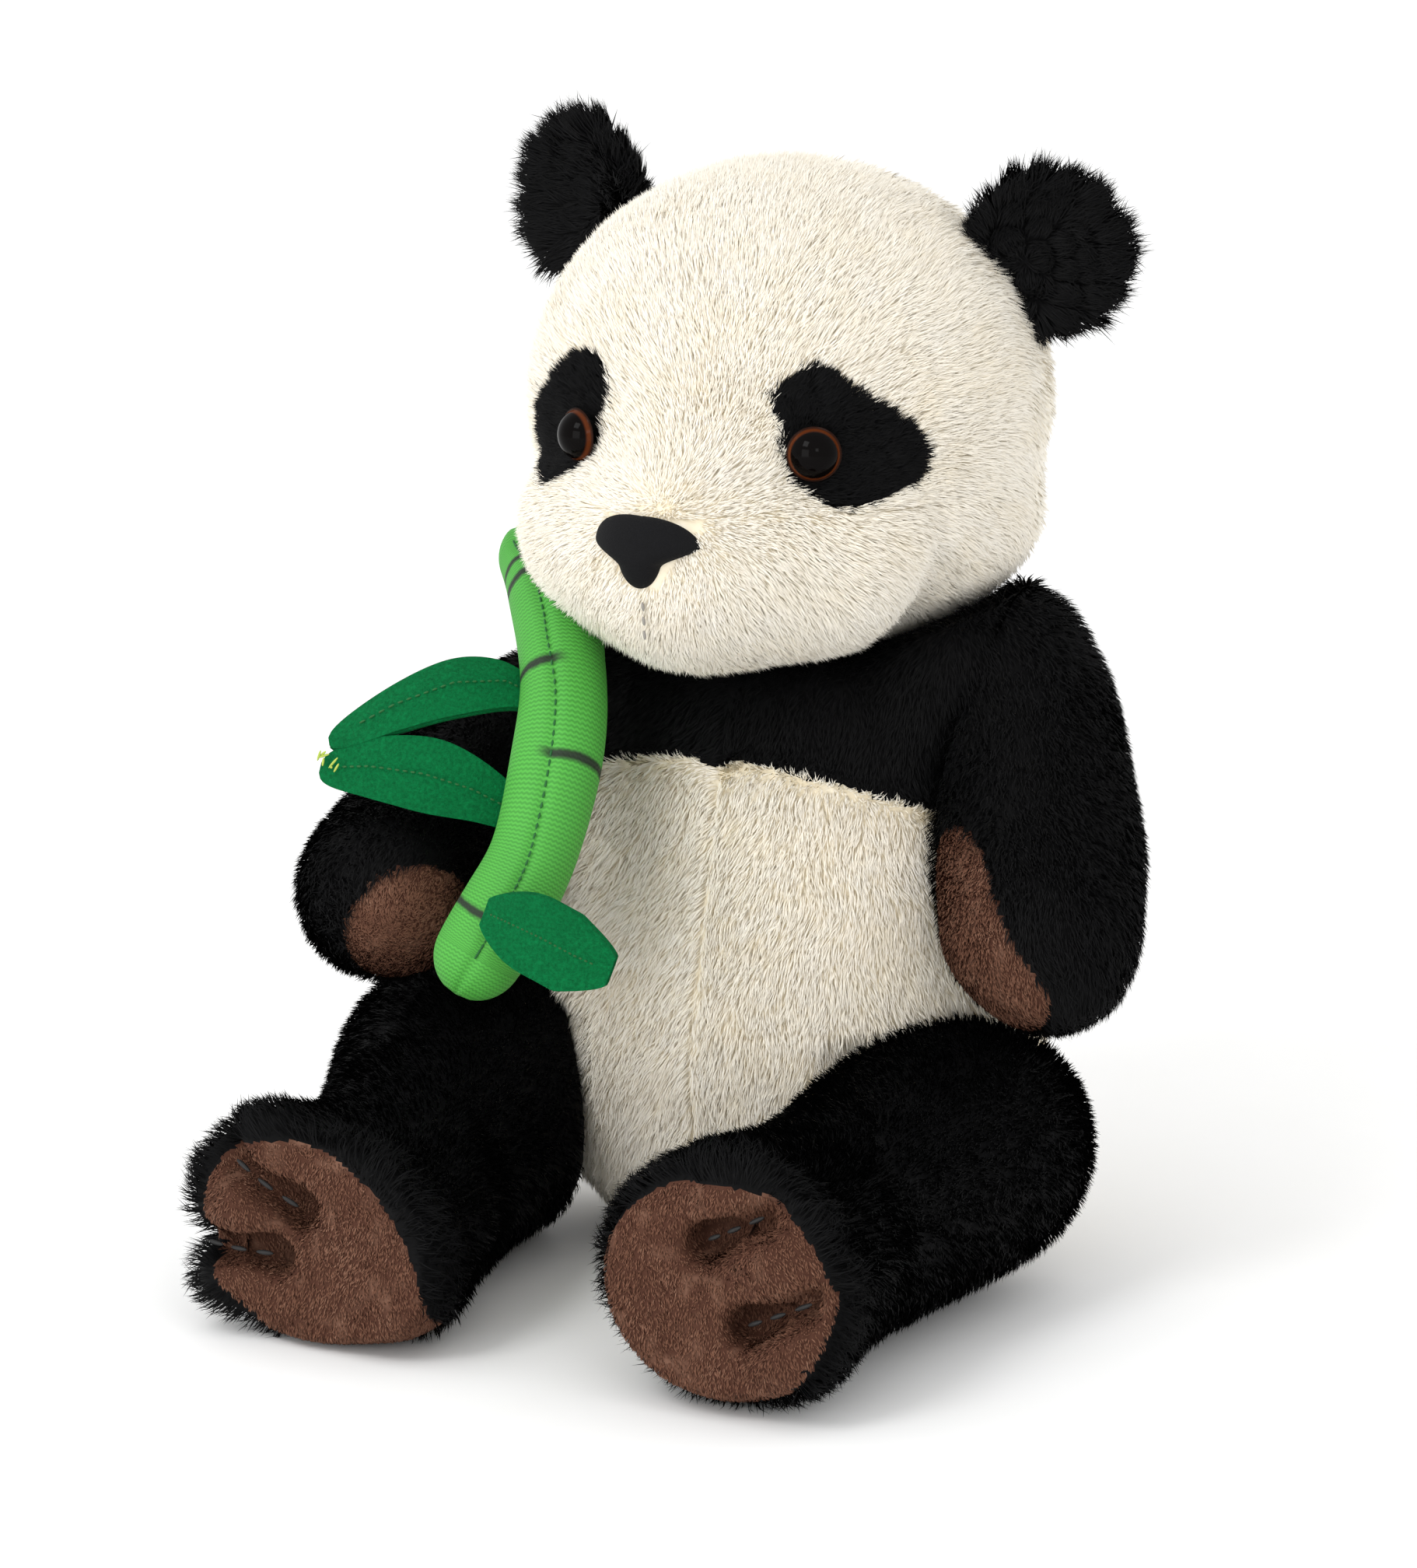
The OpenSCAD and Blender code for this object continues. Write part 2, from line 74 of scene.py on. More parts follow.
class Value:
    """A number or colour inside a finish, so that its shading can be written as sums."""

    def __init__(self, finish, out):
        self.finish, self.out = finish, out

    def sum(self, kind, left, right):
        return self.finish.node("ShaderNodeMath", {"operation": kind}, {0: left, 1: right})

    def __add__(self, other):
        return self.sum("ADD", self, other)

    def __radd__(self, other):
        return self.sum("ADD", other, self)

    def __sub__(self, other):
        return self.sum("SUBTRACT", self, other)

    def __rsub__(self, other):
        return self.sum("SUBTRACT", other, self)

    def __mul__(self, other):
        return self.sum("MULTIPLY", self, other)

    def __rmul__(self, other):
        return self.sum("MULTIPLY", other, self)

    def __truediv__(self, other):
        return self.sum("DIVIDE", self, other)

    def __pow__(self, other):
        return self.sum("POWER", self, other)


class Finish:
    """A material of the toy. Steady numbers are set on the shader itself."""

    def __init__(self, name, **steady):
        self.material = bpy.data.materials.new(name)
        self.material.use_nodes = True
        self.tree = self.material.node_tree
        self.shader = self.tree.nodes["Principled BSDF"]
        for socket, value in steady.items():
            self.shader.inputs[socket.replace("_", " ")].default_value = value

    def node(self, kind, settings=(), sockets=(), out=0):
        made = self.tree.nodes.new(kind)
        for key, value in dict(settings).items():
            if key == "stops":
                ramp = made.color_ramp
                while len(ramp.elements) < len(value):
                    ramp.elements.new(0.5)
                for element, (place, colour) in zip(ramp.elements, value):
                    element.position, element.color = place, colour
            else:
                setattr(made, key, value)
        for key, value in dict(sockets).items():
            if isinstance(value, Value):
                self.tree.links.new(value.out, made.inputs[key])
            else:
                made.inputs[key].default_value = value
        return Value(self, made.outputs[out])

    def mix(self, first, second, share):
        return self.node("ShaderNodeMix", {"data_type": "RGBA"}, {0: share, 6: first, 7: second}, 2)

    def noise(self, place, scale, detail=2.0, rough=0.5):
        return self.node("ShaderNodeTexNoise", {}, {"Vector": place, "Scale": scale, "Detail": detail,
                                                    "Roughness": rough})

    def smooth(self, value, low, high):
        return self.node("ShaderNodeMapRange", {"interpolation_type": "SMOOTHSTEP"},
                         {"Value": value, "From Min": low, "From Max": high})

    def bump(self, height, strength, distance):
        return self.node("ShaderNodeBump", {}, {"Height": height, "Strength": strength, "Distance": distance})

    def give(self, **sockets):
        for key, value in sockets.items():
            self.tree.links.new(value.out, self.shader.inputs[key.replace("_", " ")])
        return self


def place_of(finish):
    return finish.node("ShaderNodeTexCoord", out=3)


floor_paint = Finish("studio_floor", Roughness=0.75)
floor_paint.shader.inputs["Specular IOR Level"].default_value = 0.1
grain = floor_paint.noise(place_of(floor_paint), 40.0)
floor_paint.give(Base_Color=floor_paint.mix(dye(252, 252, 251), dye(254, 254, 254), grain))
bpy.ops.mesh.primitive_plane_add(size=24)
floor = bpy.context.object
floor.name = "studio_floor"
floor.data.materials.append(floor_paint.material)

world = bpy.data.worlds.new("studio")
world.use_nodes = True
world.node_tree.nodes["Background"].inputs["Color"].default_value = (1, 1, 1, 1)
world.node_tree.nodes["Background"].inputs["Strength"].default_value = 1.06
bpy.context.scene.world = world


def softbox(name, place, size, power):
    """A square soft light that looks at the middle of the toy."""
    bpy.ops.object.light_add(type="AREA", location=place)
    light = bpy.context.object
    light.name = name
    light.data.size, light.data.energy = size, power
    back = np.array(place) - np.array([0, 0, 0.12])
    flat = math.hypot(back[0], back[1])
    light.rotation_euler = (math.atan2(flat, back[2]), 0, math.atan2(back[1], back[0]) + math.pi / 2)


softbox("key_light", (-0.35, -1.2, 1.3), 0.6, 7)
softbox("side_light", (0.9, -1.1, 0.7), 0.3, 1.2)
softbox("fill_light", (-0.25, -1.5, 0.32), 0.8, 5)

# ---------------------------------------------------------------------------
# Head: four panels of cream plush sewn over a ball of filling
# The forehead gusset runs from the nose to the ears between two cheeks, and
# one piece closes the back. Each panel is its cloth and the pile on it.
# ---------------------------------------------------------------------------


def unit(v):
    return v / np.maximum(np.linalg.norm(v, axis=-1, keepdims=True), 1e-9)


def limb(*balls, steps=6):
    """Balls on the way from each one to the next, so that they join into one soft tube."""
    out = []
    for (p, s), (q, t) in zip(balls, balls[1:]):
        for k in range(steps):
            f = k / steps
            out.append((tuple(np.array(p) * (1 - f) + np.array(q) * f),
                        tuple(np.array(s) * (1 - f) + np.array(t) * f)))
    return out + [balls[-1]]


class Form:
    """The stuffed shape under the cloth: points in millimetres, faces and outward directions."""

    def __init__(self, points, faces):
        self.points, self.faces = points, faces
        self.settle()

    def settle(self):
        p = self.points[self.faces]
        face = np.cross(p[:, 2] - p[:, 0], p[:, 3] - p[:, 1])
        self.normals = np.zeros_like(self.points)
        for k in range(4):
            np.add.at(self.normals, self.faces[:, k], face)
        self.normals = unit(self.normals)

    def crease(self, way, depth, width, only=None, seen=(1, 1, 1)):
        """Pulls the cloth in along a line of points, as a sewn seam does."""
        gap, _ = line_gap(self.points * seen, np.array(way, float) * seen)
        push = depth * np.exp(-((gap / width) ** 2))
        if only is not None:
            push = push * only(self.points)
        self.points = self.points - self.normals * push[:, None]
        self.settle()


def spots(thing):
    """The places of an object's points."""
    places = np.zeros(len(thing.data.vertices) * 3)
    thing.data.vertices.foreach_get("co", places)
    return places.reshape(-1, 3)


def put(thing, places):
    """Moves an object's points."""
    thing.data.vertices.foreach_set("co", places.ravel())
    thing.data.update()


def corner_points(thing):
    """The point at each corner of an object's faces."""
    corners = np.zeros(len(thing.data.loops), np.int64)
    thing.data.loops.foreach_get("vertex_index", corners)
    return corners


def curve(line, f):
    """Places on a smooth curve through several points, and its direction, for shares of the way along it."""
    k = np.clip(f, 0, 1) * (len(line) - 1)
    i = np.clip(np.floor(k).astype(int), 0, len(line) - 2)
    t = (k - i)[:, None]
    p0, p1, p2, p3 = line[np.maximum(i - 1, 0)], line[i], line[i + 1], line[np.minimum(i + 2, len(line) - 1)]
    linear, square, cube = p2 - p0, 2 * p0 - 5 * p1 + 4 * p2 - p3, 3 * p1 - p0 - 3 * p2 + p3
    place = 0.5 * (2 * p1 + linear * t + square * t ** 2 + cube * t ** 3)
    return place, unit(0.5 * (linear + 2 * square * t + 3 * cube * t ** 2))


def line_gap(points, way):
    """How far each point is from a line through several points, and the nearest place on it."""
    best = np.full(len(points), 1e9)
    near = np.zeros_like(points)
    for a, b in zip(np.array(way[:-1], float), np.array(way[1:], float)):
        d = b - a
        f = np.clip((points - a) @ d / (d @ d), 0, 1)
        q = a + f[:, None] * d
        gap = np.linalg.norm(points - q, axis=1)
        near = np.where((gap < best)[:, None], q, near)
        best = np.minimum(best, gap)
    return best, near


def stuffed(name, balls, cell=4.0, smooth=8, swell=2.5, shape=None):
    """Balls in millimetres, joined, skinned and blown up under pressure like a sewn cover full of fibre."""
    bpy.ops.object.select_all(action="DESELECT")
    made = []
    for place, size in balls:
        bpy.ops.mesh.primitive_uv_sphere_add(segments=40, ring_count=20, radius=0.5,
                                             location=tuple(c / 1000 for c in place))
        bpy.context.object.scale = tuple(c / 1000 for c in size)
        made.append(bpy.context.object)
    for ball in made:
        ball.select_set(True)
    bpy.context.view_layer.objects.active = made[0]
    bpy.ops.object.join()
    form = bpy.context.object
    form.name = name
    bpy.ops.object.transform_apply(location=True, rotation=True, scale=True)
    skin = form.modifiers.new("Skin", "REMESH")
    skin.mode, skin.voxel_size = "VOXEL", cell / 1000
    bpy.ops.object.modifier_apply(modifier="Skin")
    relax = form.modifiers.new("Relax", "SMOOTH")
    relax.factor, relax.iterations = 0.6, smooth
    bpy.ops.object.modifier_apply(modifier="Relax")
    rest = spots(form)
    cloth = form.modifiers.new("Stuffing", "CLOTH")
    cloth.settings.quality = 4
    cloth.settings.use_pressure = True
    cloth.settings.uniform_pressure_force = 4
    cloth.settings.effector_weights.gravity = 0
    cloth.point_cache.frame_start, cloth.point_cache.frame_end = 1, 20
    for step in range(1, 21):
        bpy.context.scene.frame_set(step)
    bpy.ops.object.modifier_apply(modifier="Stuffing")
    bpy.context.scene.frame_set(1)
    move = spots(form) - rest
    far = np.linalg.norm(move, axis=1, keepdims=True)
    put(form, rest + move * np.minimum(1, swell / 1000 / np.maximum(far, 1e-9)))
    finer = form.modifiers.new("Finer", "SUBSURF")
    finer.levels = finer.render_levels = 1
    bpy.ops.object.modifier_apply(modifier="Finer")
    points, faces = spots(form) * 1000, corner_points(form).reshape(-1, 4)
    bpy.data.objects.remove(form)
    return Form(points, faces)


def tufts(points, cell, seed):
    """The middle of the tuft that each hair leans to."""
    table = np.random.default_rng(seed).uniform(0, 1, (4096, 3))
    base = np.floor(points / cell).astype(np.int64)
    best, near = np.full(len(points), 1e9), points.copy()
    for i in (-1, 0, 1):
        for j in (-1, 0, 1):
            for k in (-1, 0, 1):
                box = base + (i, j, k)
                key = (box[:, 0] * 73856093 ^ box[:, 1] * 19349663 ^ box[:, 2] * 83492791) & 4095
                middle = (box + table[key]) * cell
                gap = np.linalg.norm(points - middle, axis=1)
                near = np.where((gap < best)[:, None], middle, near)
                best = np.minimum(best, gap)
    return near


def drift(points, cell, seed):
    """A smooth wandering number from -1 to 1 in three directions."""
    table = np.random.default_rng(seed).uniform(-1, 1, (4096, 3))
    p = points / cell
    base = np.floor(p).astype(np.int64)
    f = p - base
    f = f * f * (3 - 2 * f)
    total = np.zeros_like(points)
    for i in (0, 1):
        for j in (0, 1):
            for k in (0, 1):
                box = base + (i, j, k)
                key = (box[:, 0] * 73856093 ^ box[:, 1] * 19349663 ^ box[:, 2] * 83492791) & 4095
                share = ((f[:, 0] if i else 1 - f[:, 0]) * (f[:, 1] if j else 1 - f[:, 1])
                         * (f[:, 2] if k else 1 - f[:, 2]))
                total += table[key] * share[:, None]
    return total


class Pile:
    """How the pile of one plush grows: hair length, thickness, slant, tufts and how it is brushed."""

    def __init__(self, finish, hairs, length, comb, slant=0.70, width=0.30, tuft=5.0, gather=0.12, stray=0.16,
                 bare=None):
        self.finish, self.hairs, self.length, self.comb = finish, hairs, length, comb
        self.slant, self.width, self.tuft, self.gather, self.stray, self.bare = slant, width, tuft, gather, stray, bare


def grow(form, faces, zone, pile, seed):
    """Hairs on a part of the form. Each is a bent blade of three faces, and its shading follows the cloth under it."""
    rng = np.random.default_rng(seed)
    corners = np.concatenate([faces[:, [0, 1, 2]], faces[:, [0, 2, 3]]])
    a, b, c = (form.points[corners[:, k]] for k in range(3))
    size = np.linalg.norm(np.cross(b - a, c - a), axis=1)
    pick = rng.choice(len(size), pile.hairs, p=size / size.sum())
    u, v = rng.uniform(0, 1, (2, pile.hairs, 1))
    over = u + v > 1
    u, v = np.where(over, 1 - u, u), np.where(over, 1 - v, v)
    root = a[pick] * (1 - u - v) + b[pick] * u + c[pick] * v
    n = unit(form.normals[corners[pick, 0]] * (1 - u - v) + form.normals[corners[pick, 1]] * u
             + form.normals[corners[pick, 2]] * v)
    keep = zone(root)
    if pile.bare is not None:
        keep &= ~pile.bare(root)
    root, n = root[keep], n[keep]
    count = len(root)
    flow = (unit(pile.comb(root)) + pile.stray * rng.normal(size=(count, 3))
            + 0.32 * drift(root, 11.0, seed + 1) + 0.14 * drift(root, 4.0, seed + 2))
    flow = unit(flow - (flow * n).sum(1, keepdims=True) * n)
    long = (np.broadcast_to(pile.length(root) if callable(pile.length) else pile.length, (count,))
            * rng.uniform(0.72, 1.08, count))
    slant = ((pile.slant(root) if callable(pile.slant) else pile.slant)
             + 0.11 * rng.normal(size=count) + 0.12 * drift(root, 8.0, seed + 3)[:, 0])
    slant = np.clip(slant, 0.05, 1.3)[:, None]
    later = np.minimum(slant + 0.35, 1.5)
    long = long[:, None]
    pull = tufts(root, pile.tuft, seed + 4) - root
    pull = (pull - (pull * n).sum(1, keepdims=True) * n) * pile.gather
    middle = root + 0.55 * long * (n * np.cos(slant) + flow * np.sin(slant)) + 0.35 * pull
    tip = middle + 0.45 * long * (n * np.cos(later) + flow * np.sin(later)) + 0.65 * pull
    t = unit(tip - root)
    side = unit(np.cross(t, n))
    roll = rng.uniform(-0.9, 0.9, (count, 1))
    side = side * np.cos(roll) + np.cross(t, side) * np.sin(roll)
    half = side * pile.width / 2 * rng.uniform(0.7, 1.3, (count, 1))
    points = np.stack([root - half - 0.3 * n, root + half - 0.3 * n,
                       middle - 0.8 * half, middle + 0.8 * half, tip], 1)
    face = unit(np.cross(side, t))
    shade = unit(0.84 * n + 0.16 * face + 0.06 * rng.normal(size=(count, 3)))
    normals = np.repeat(shade[:, None], 5, 1)
    normals[:, 4] = unit(shade + 0.25 * t)
    tint = np.clip(0.5 + 0.15 * rng.normal(size=count) + 0.28 * drift(root, 6.0, seed + 5)[:, 1], 0.03, 0.97)
    first = np.arange(count)[:, None] * 5
    blades = np.concatenate([first + [0, 1, 3], first + [0, 3, 2], first + [2, 3, 4]], 1).reshape(-1, 3)
    across_blade = np.array([-0.015, 0.015, -0.012, 0.012, 0.0])
    # Up each blade on the map, from the painted shade of the root to the colour of the tip.
    up_blade = np.array([0.02, 0.02, 0.55, 0.55, 0.99])
    uv = np.stack([np.clip(tint[:, None] + across_blade, 0.005, 0.995), np.broadcast_to(up_blade, (count, 5))], -1)
    return points.reshape(-1, 3), normals.reshape(-1, 3), blades, uv.reshape(-1, 2)


def cloth_mesh(name, points, normals, quads, triangles, uv):
    """A mesh in metres from its points, with its own shading directions and a map for the pile's colour."""
    mesh = bpy.data.meshes.new(name)
    mesh.vertices.add(len(points))
    points = points.copy()
    points[:, 2] = np.maximum(points[:, 2], 0.15)
    mesh.vertices.foreach_set("co", (points / 1000).astype(np.float32).ravel())
    corners = np.concatenate([quads.ravel(), triangles.ravel()]).astype(np.int32)
    mesh.loops.add(len(corners))
    mesh.loops.foreach_set("vertex_index", corners)
    totals = np.concatenate([np.full(len(quads), 4), np.full(len(triangles), 3)]).astype(np.int32)
    mesh.polygons.add(len(totals))
    mesh.polygons.foreach_set("loop_start", np.concatenate([[0], np.cumsum(totals)[:-1]]).astype(np.int32))
    mesh.polygons.foreach_set("loop_total", totals)
    mesh.polygons.foreach_set("use_smooth", np.ones(len(totals), bool))
    mesh.update(calc_edges=True)
    mesh.uv_layers.new(name="OFBake").data.foreach_set("uv", uv[corners].astype(np.float32).ravel())
    mesh.attributes.new("custom_normal", "FLOAT_VECTOR", "POINT").data.foreach_set(
        "vector", normals.astype(np.float32).ravel())
    made = bpy.data.objects.new(name, mesh)
    bpy.context.scene.collection.objects.link(made)
    return made


def panel(name, form, zone, pile, body, seed, joint=None):
    """One sewn panel: the faces of the form inside its zone, and the pile that grows there."""
    inside = zone(form.points)
    middle = form.points[form.faces].mean(1)
    own = form.faces[zone(middle)]
    near = form.faces[inside[form.faces].any(1)]
    hair, shade, blades, uv = grow(form, near, zone, pile, seed)
    used, index = np.unique(own, return_inverse=True)
    index = index.reshape(own.shape)
    # The cloth under the pile sits at the roots' end of the map, so it takes their painted shade.
    skin_uv = np.stack([np.clip(0.5 + 0.4 * drift(form.points[used], 4.0, seed + 6)[:, 0]
                                + 0.004 * (np.arange(len(used)) % 3 - 1), 0.01, 0.99),
                        0.03 + 0.02 * (np.arange(len(used)) % 2)], 1)
    made = cloth_mesh(name + "_plush", np.concatenate([form.points[used], hair]),
                      np.concatenate([form.normals[used], shade]), index, blades + len(used),
                      np.concatenate([skin_uv, uv]))
    made.data.materials.append(pile.finish.material)
    if joint:
        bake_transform(made)
    else:
        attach(made, body)
    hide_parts(name)
    return made


def plush(name, shaded_roots, tips, shadow, light, rough, sheen=0.0, shine=0.25):
    """Pile with painted shade in its depth, where the roots are darker than the tips, and with hairs a little lighter
    and darker beside each other.
    """
    finish = Finish(name, Roughness=rough, Sheen_Weight=sheen, Sheen_Roughness=0.4)
    finish.shader.inputs["Specular IOR Level"].default_value = shine
    parts = finish.node("ShaderNodeUVMap", {"uv_map": "OFBake"})
    hue = finish.node("ShaderNodeSeparateXYZ", {}, {0: parts}, 0)
    up = finish.node("ShaderNodeSeparateXYZ", {}, {0: parts}, 1)
    # Painted shade: the colour darkens from the tips down to the roots, deep in the pile.
    hair = finish.mix(shaded_roots, tips, finish.smooth(up, 0.0, 0.85))
    hair = finish.mix(hair, shadow, finish.smooth(hue, 0.45, 0.0) * 0.6)
    hair = finish.mix(hair, light, finish.smooth(hue, 0.55, 1.0) * 0.7)
    return finish.give(Base_Color=hair)


# The first colour is the roots, darker than the tips as painted shade in the depth of the pile.
cream = plush("cream_plush_pile", dye(245, 234, 209), dye(251, 245, 232), dye(246, 235, 211), dye(253, 249, 240),
              0.85)

fur = 3.3  # how far the brushed pile stands off the cloth
skull_z, jowl_z = 208.0, 182.0
eye_at = np.array([30.5, -55.0, 205.0])
nose_at = np.array([0.0, -78.0, 184.0])


def under_pile(*size):
    return tuple(s - 2 * fur for s in size)


head_balls = [((0, 0, skull_z), under_pile(130, 124, 116)), ((0, 0, jowl_z), under_pile(128, 118, 68))]
for side in (-1, 1):
    head_balls += limb(((0, -51, 178), under_pile(60, 66, 59)), ((side * 26, -38, 179), under_pile(55, 52, 55)),
                       steps=3)
head_balls += limb(((-26, -38, 179), under_pile(55, 52, 55)), ((26, -38, 179), under_pile(55, 52, 55)), steps=3)
head = stuffed("head_form", head_balls, cell=3.2, smooth=14)
# The middle line of the bamboo cane, whose upper end dents the right cheek.
cane = np.array([(-35, -96, 87), (-30, -91, 98), (-26.5, -84, 110), (-26.5, -74, 126), (-29.5, -63, 141),
                 (-37, -50, 153), (-46, -37, 163), (-53, -29, 168)], float)
gap, near = line_gap(head.points, cane)
head.points += unit(head.points - near) * np.maximum(11.8 - gap, 0)[:, None]
head.settle()


def gusset_half(z):
    return np.where(z > 217, 26 + (z - 217) * 0.617, 11.7 + (z - 188) * 0.493)


gusset_line = {s: [(s * 13, -76, 190), (s * 26, -58, 217), (s * 33, -50, 229), (s * 41, -32, 243),
                   (s * 49, -10, 252)] for s in (-1, 1)}


def in_patch(p):
    """The droop-cornered oval round each eye."""
    x, z = np.abs(p[:, 0]), p[:, 2]
    gap = np.full(len(p), 1e9)
    for f in np.linspace(0, 1, 7):
        cx, cz, r = 28.5 + 9.5 * f, 213.5 - 11.5 * f, 8.2 + 2.6 * f
        gap = np.minimum(gap, np.hypot(x - cx, z - cz) - r)
    gap = np.minimum(gap, np.hypot(x - 31.5, z - 203.2) - 8.6)
    return (gap < 0) & (p[:, 1] < -20)


def in_gusset(p):
    return (np.abs(p[:, 0]) < gusset_half(p[:, 2])) & (p[:, 2] > 188) & (p[:, 1] < 6)


for s in (-1, 1):
    head.crease(gusset_line[s], 1.6, 2.6)
    head.crease([tuple(eye_at * (s, 1, 1)), tuple(eye_at * (s, 1, 1) + (s * 8, 6, -4))], 2.2, 9.0)
head.crease([(0, -84, 172), (0, -79, 160), (0, -70, 152)], 2.2, 2.6)


def brush_head(p):
    """The face is brushed away from the nose, and parts along the seams."""
    flow = unit(p - (nose_at + (0, 8, 4)))
    flow = flow + np.stack([np.zeros(len(p)), np.zeros(len(p)), -0.35 * np.ones(len(p))], 1) * (p[:, [2]] < 190)
    for s in (-1, 1):
        gap, near = line_gap(p, gusset_line[s])
        flow = flow + unit(p - near) * (0.8 * np.exp(-((gap / 3.5) ** 2)))[:, None]
        eye = eye_at * (s, 1, 1)
        far = np.linalg.norm(p - eye, axis=1, keepdims=True)
        flow = flow + unit(p - eye) * 1.6 * np.exp(-((far / 11) ** 2))
    behind = np.clip((p[:, [1]] + 20) / 30, 0, 1)
    return flow * (1 - behind) + behind * np.array([0.0, 0.5, -1.0])


def face_length(p):
    """Short round the nose and the eyes, and fullest on the cheeks."""
    gap = np.linalg.norm(p - nose_at, axis=1)
    short = np.minimum(1, 0.38 + gap / 60)
    eyes = np.minimum(np.linalg.norm(p - eye_at, axis=1), np.linalg.norm(p - eye_at * (-1, 1, 1), axis=1))
    return 4.9 * short * np.clip(0.5 + eyes / 45, 0, 1)


def bare_face(p):
    """No hair grows under the nose and the eyes."""
    near_nose = ((np.abs(p[:, 0]) < 12.0 - 0.55 * (190 - p[:, 2]))
                 & (p[:, 2] > 175) & (p[:, 2] < 190) & (p[:, 1] < -64))
    for s in (-1, 1):
        near_nose |= np.linalg.norm(p - eye_at * (s, 1, 1), axis=1) < 6.2
    return near_nose


head_pile = dict(length=face_length, comb=brush_head, slant=0.74, tuft=5.0, gather=0.12, bare=bare_face)
panel("forehead_gusset", head, lambda p: in_gusset(p) & ~in_patch(p), Pile(cream, 46000, **head_pile), "head",
      11)
for s, side in ((1, "left"), (-1, "right")):
    panel(f"cheek_{side}", head, lambda p: (p[:, 0] * s >= 0) & (p[:, 1] < 6) & ~in_gusset(p) & ~in_patch(p),
          Pile(cream, 56000, **head_pile), "head", 20 + s)
panel("head_back", head, lambda p: p[:, 1] >= 6, Pile(cream, 28000, **{**head_pile, "width": 0.6}), "head",
      31)

# Filling: white polyester fibre. Each stuffed part holds its own wad, cut a
# little smaller than its cover.
fibre = Finish("fibre_filling", Roughness=0.95)
wisp = fibre.noise(place_of(fibre), 420.0, 6.0, 0.7)
fibre.give(Base_Color=fibre.mix(dye(226, 226, 222), dye(250, 250, 248), wisp), Normal=fibre.bump(wisp, 0.7, 0.001))


def filling(node, form, body, joint=None):
    """The wad inside one cover."""
    mesh = bpy.data.meshes.new(node)
    middle = form.points.mean(0)
    inner = middle + (form.points - form.normals - middle) * 0.87
    inner[:, 1] = np.maximum(inner[:, 1], -110)
    mesh.from_pydata((inner / 1000).tolist(), [], form.faces.tolist())
    wad = bpy.data.objects.new(node + "_wad", mesh)
    bpy.context.scene.collection.objects.link(wad)
    bpy.ops.object.select_all(action="DESELECT")
    wad.select_set(True)
    bpy.context.view_layer.objects.active = wad
    fewer = wad.modifiers.new("Fewer", "DECIMATE")
    fewer.ratio = 0.12
    bpy.ops.object.modifier_apply(modifier="Fewer")
    bpy.ops.object.shade_smooth()
    wad.data.materials.append(fibre.material)
    if joint:
        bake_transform(wad)
    else:
        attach(wad, body)
    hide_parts(node)


filling("head_filling", head, "head")

# ---------------------------------------------------------------------------
# Eye patches: black plush let into the cheeks
# Each is a drooping oval, sewn in flush, and the cream pile laps its edge.
# ---------------------------------------------------------------------------
# The first colour is the roots, darker than the tips as painted shade in the depth of the pile.
black = plush("black_plush_pile", dye(4, 4, 5), dye(9, 9, 10), dye(3, 3, 4), dye(17, 17, 18), 0.7, shine=0.12)
for s, side in ((1, "left"), (-1, "right")):
    panel(f"eye_patch_{side}", head, lambda p: in_patch(p) & (p[:, 0] * s > 0),
          Pile(black, 11000, 4.6, brush_head, slant=0.80, tuft=4.0, gather=0.5, stray=0.3, bare=bare_face), "head",
          40 + s)

# ---------------------------------------------------------------------------
# Eyes: safety eyes of clear plastic
# A glossy dome with a wide dark pupil and a thin amber ring, on a shank that
# passes through the plush into a washer inside the head.
# ---------------------------------------------------------------------------
glass = Finish("eye_plastic_gloss", Roughness=0.1, Coat_Weight=0.04, Coat_Roughness=0.02)
glass.shader.inputs["Specular IOR Level"].default_value = 0.03
ring = glass.node("ShaderNodeSeparateXYZ", {}, {0: glass.node("ShaderNodeUVMap", {"uv_map": "EyeMap"})}, 0)
iris = glass.mix(dye(5, 4, 4), dye(92, 44, 20), glass.smooth(ring, 0.86, 0.93))
streak = glass.noise(glass.node("ShaderNodeUVMap", {"uv_map": "EyeMap"}), 60.0, 3.0)
iris = glass.mix(iris, dye(40, 20, 12), glass.smooth(ring, 0.95, 1.0))
glass.give(Base_Color=glass.mix(iris, dye(14, 8, 6), streak * 0.35))
for s, side in ((1, "left"), (-1, "right")):
    yaw = s * math.radians(27)
    look = np.array([math.sin(yaw), -math.cos(yaw), 0.0])
    bpy.ops.mesh.primitive_uv_sphere_add(segments=64, ring_count=48, radius=0.0064)
    eye = bpy.context.object
    eye.name = f"eye_{side}_dome"
    layer = eye.data.uv_layers.new(name="EyeMap")
    p = spots(eye)
    p[:, 2] = np.where(p[:, 2] < 0.0022, 0.0022 + (p[:, 2] - 0.0022) * 0.06, p[:, 2])
    radius = np.hypot(p[:, 0], p[:, 1]) / 0.0061
    loops = corner_points(eye)
    angle = np.arctan2(p[:, 1], p[:, 0]) / (2 * math.pi)
    layer.data.foreach_set("uv", np.stack([np.clip(radius, 0, 1)[loops], angle[loops]], 1).astype(np.float32).ravel())
    right = np.array([math.cos(yaw), math.sin(yaw), 0.0])
    seat = np.array([s * 30.6 + 0.9, -54.9, 203.8]) / 1000 - look * 0.0022
    put(eye, seat + p[:, [0]] * right + p[:, [1]] * np.array([0, 0, 1.0]) + p[:, [2]] * look)
    bpy.ops.object.shade_smooth()
    eye.data.materials.append(glass.material)
    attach(eye, "head")
    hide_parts(f"eye_{side}")

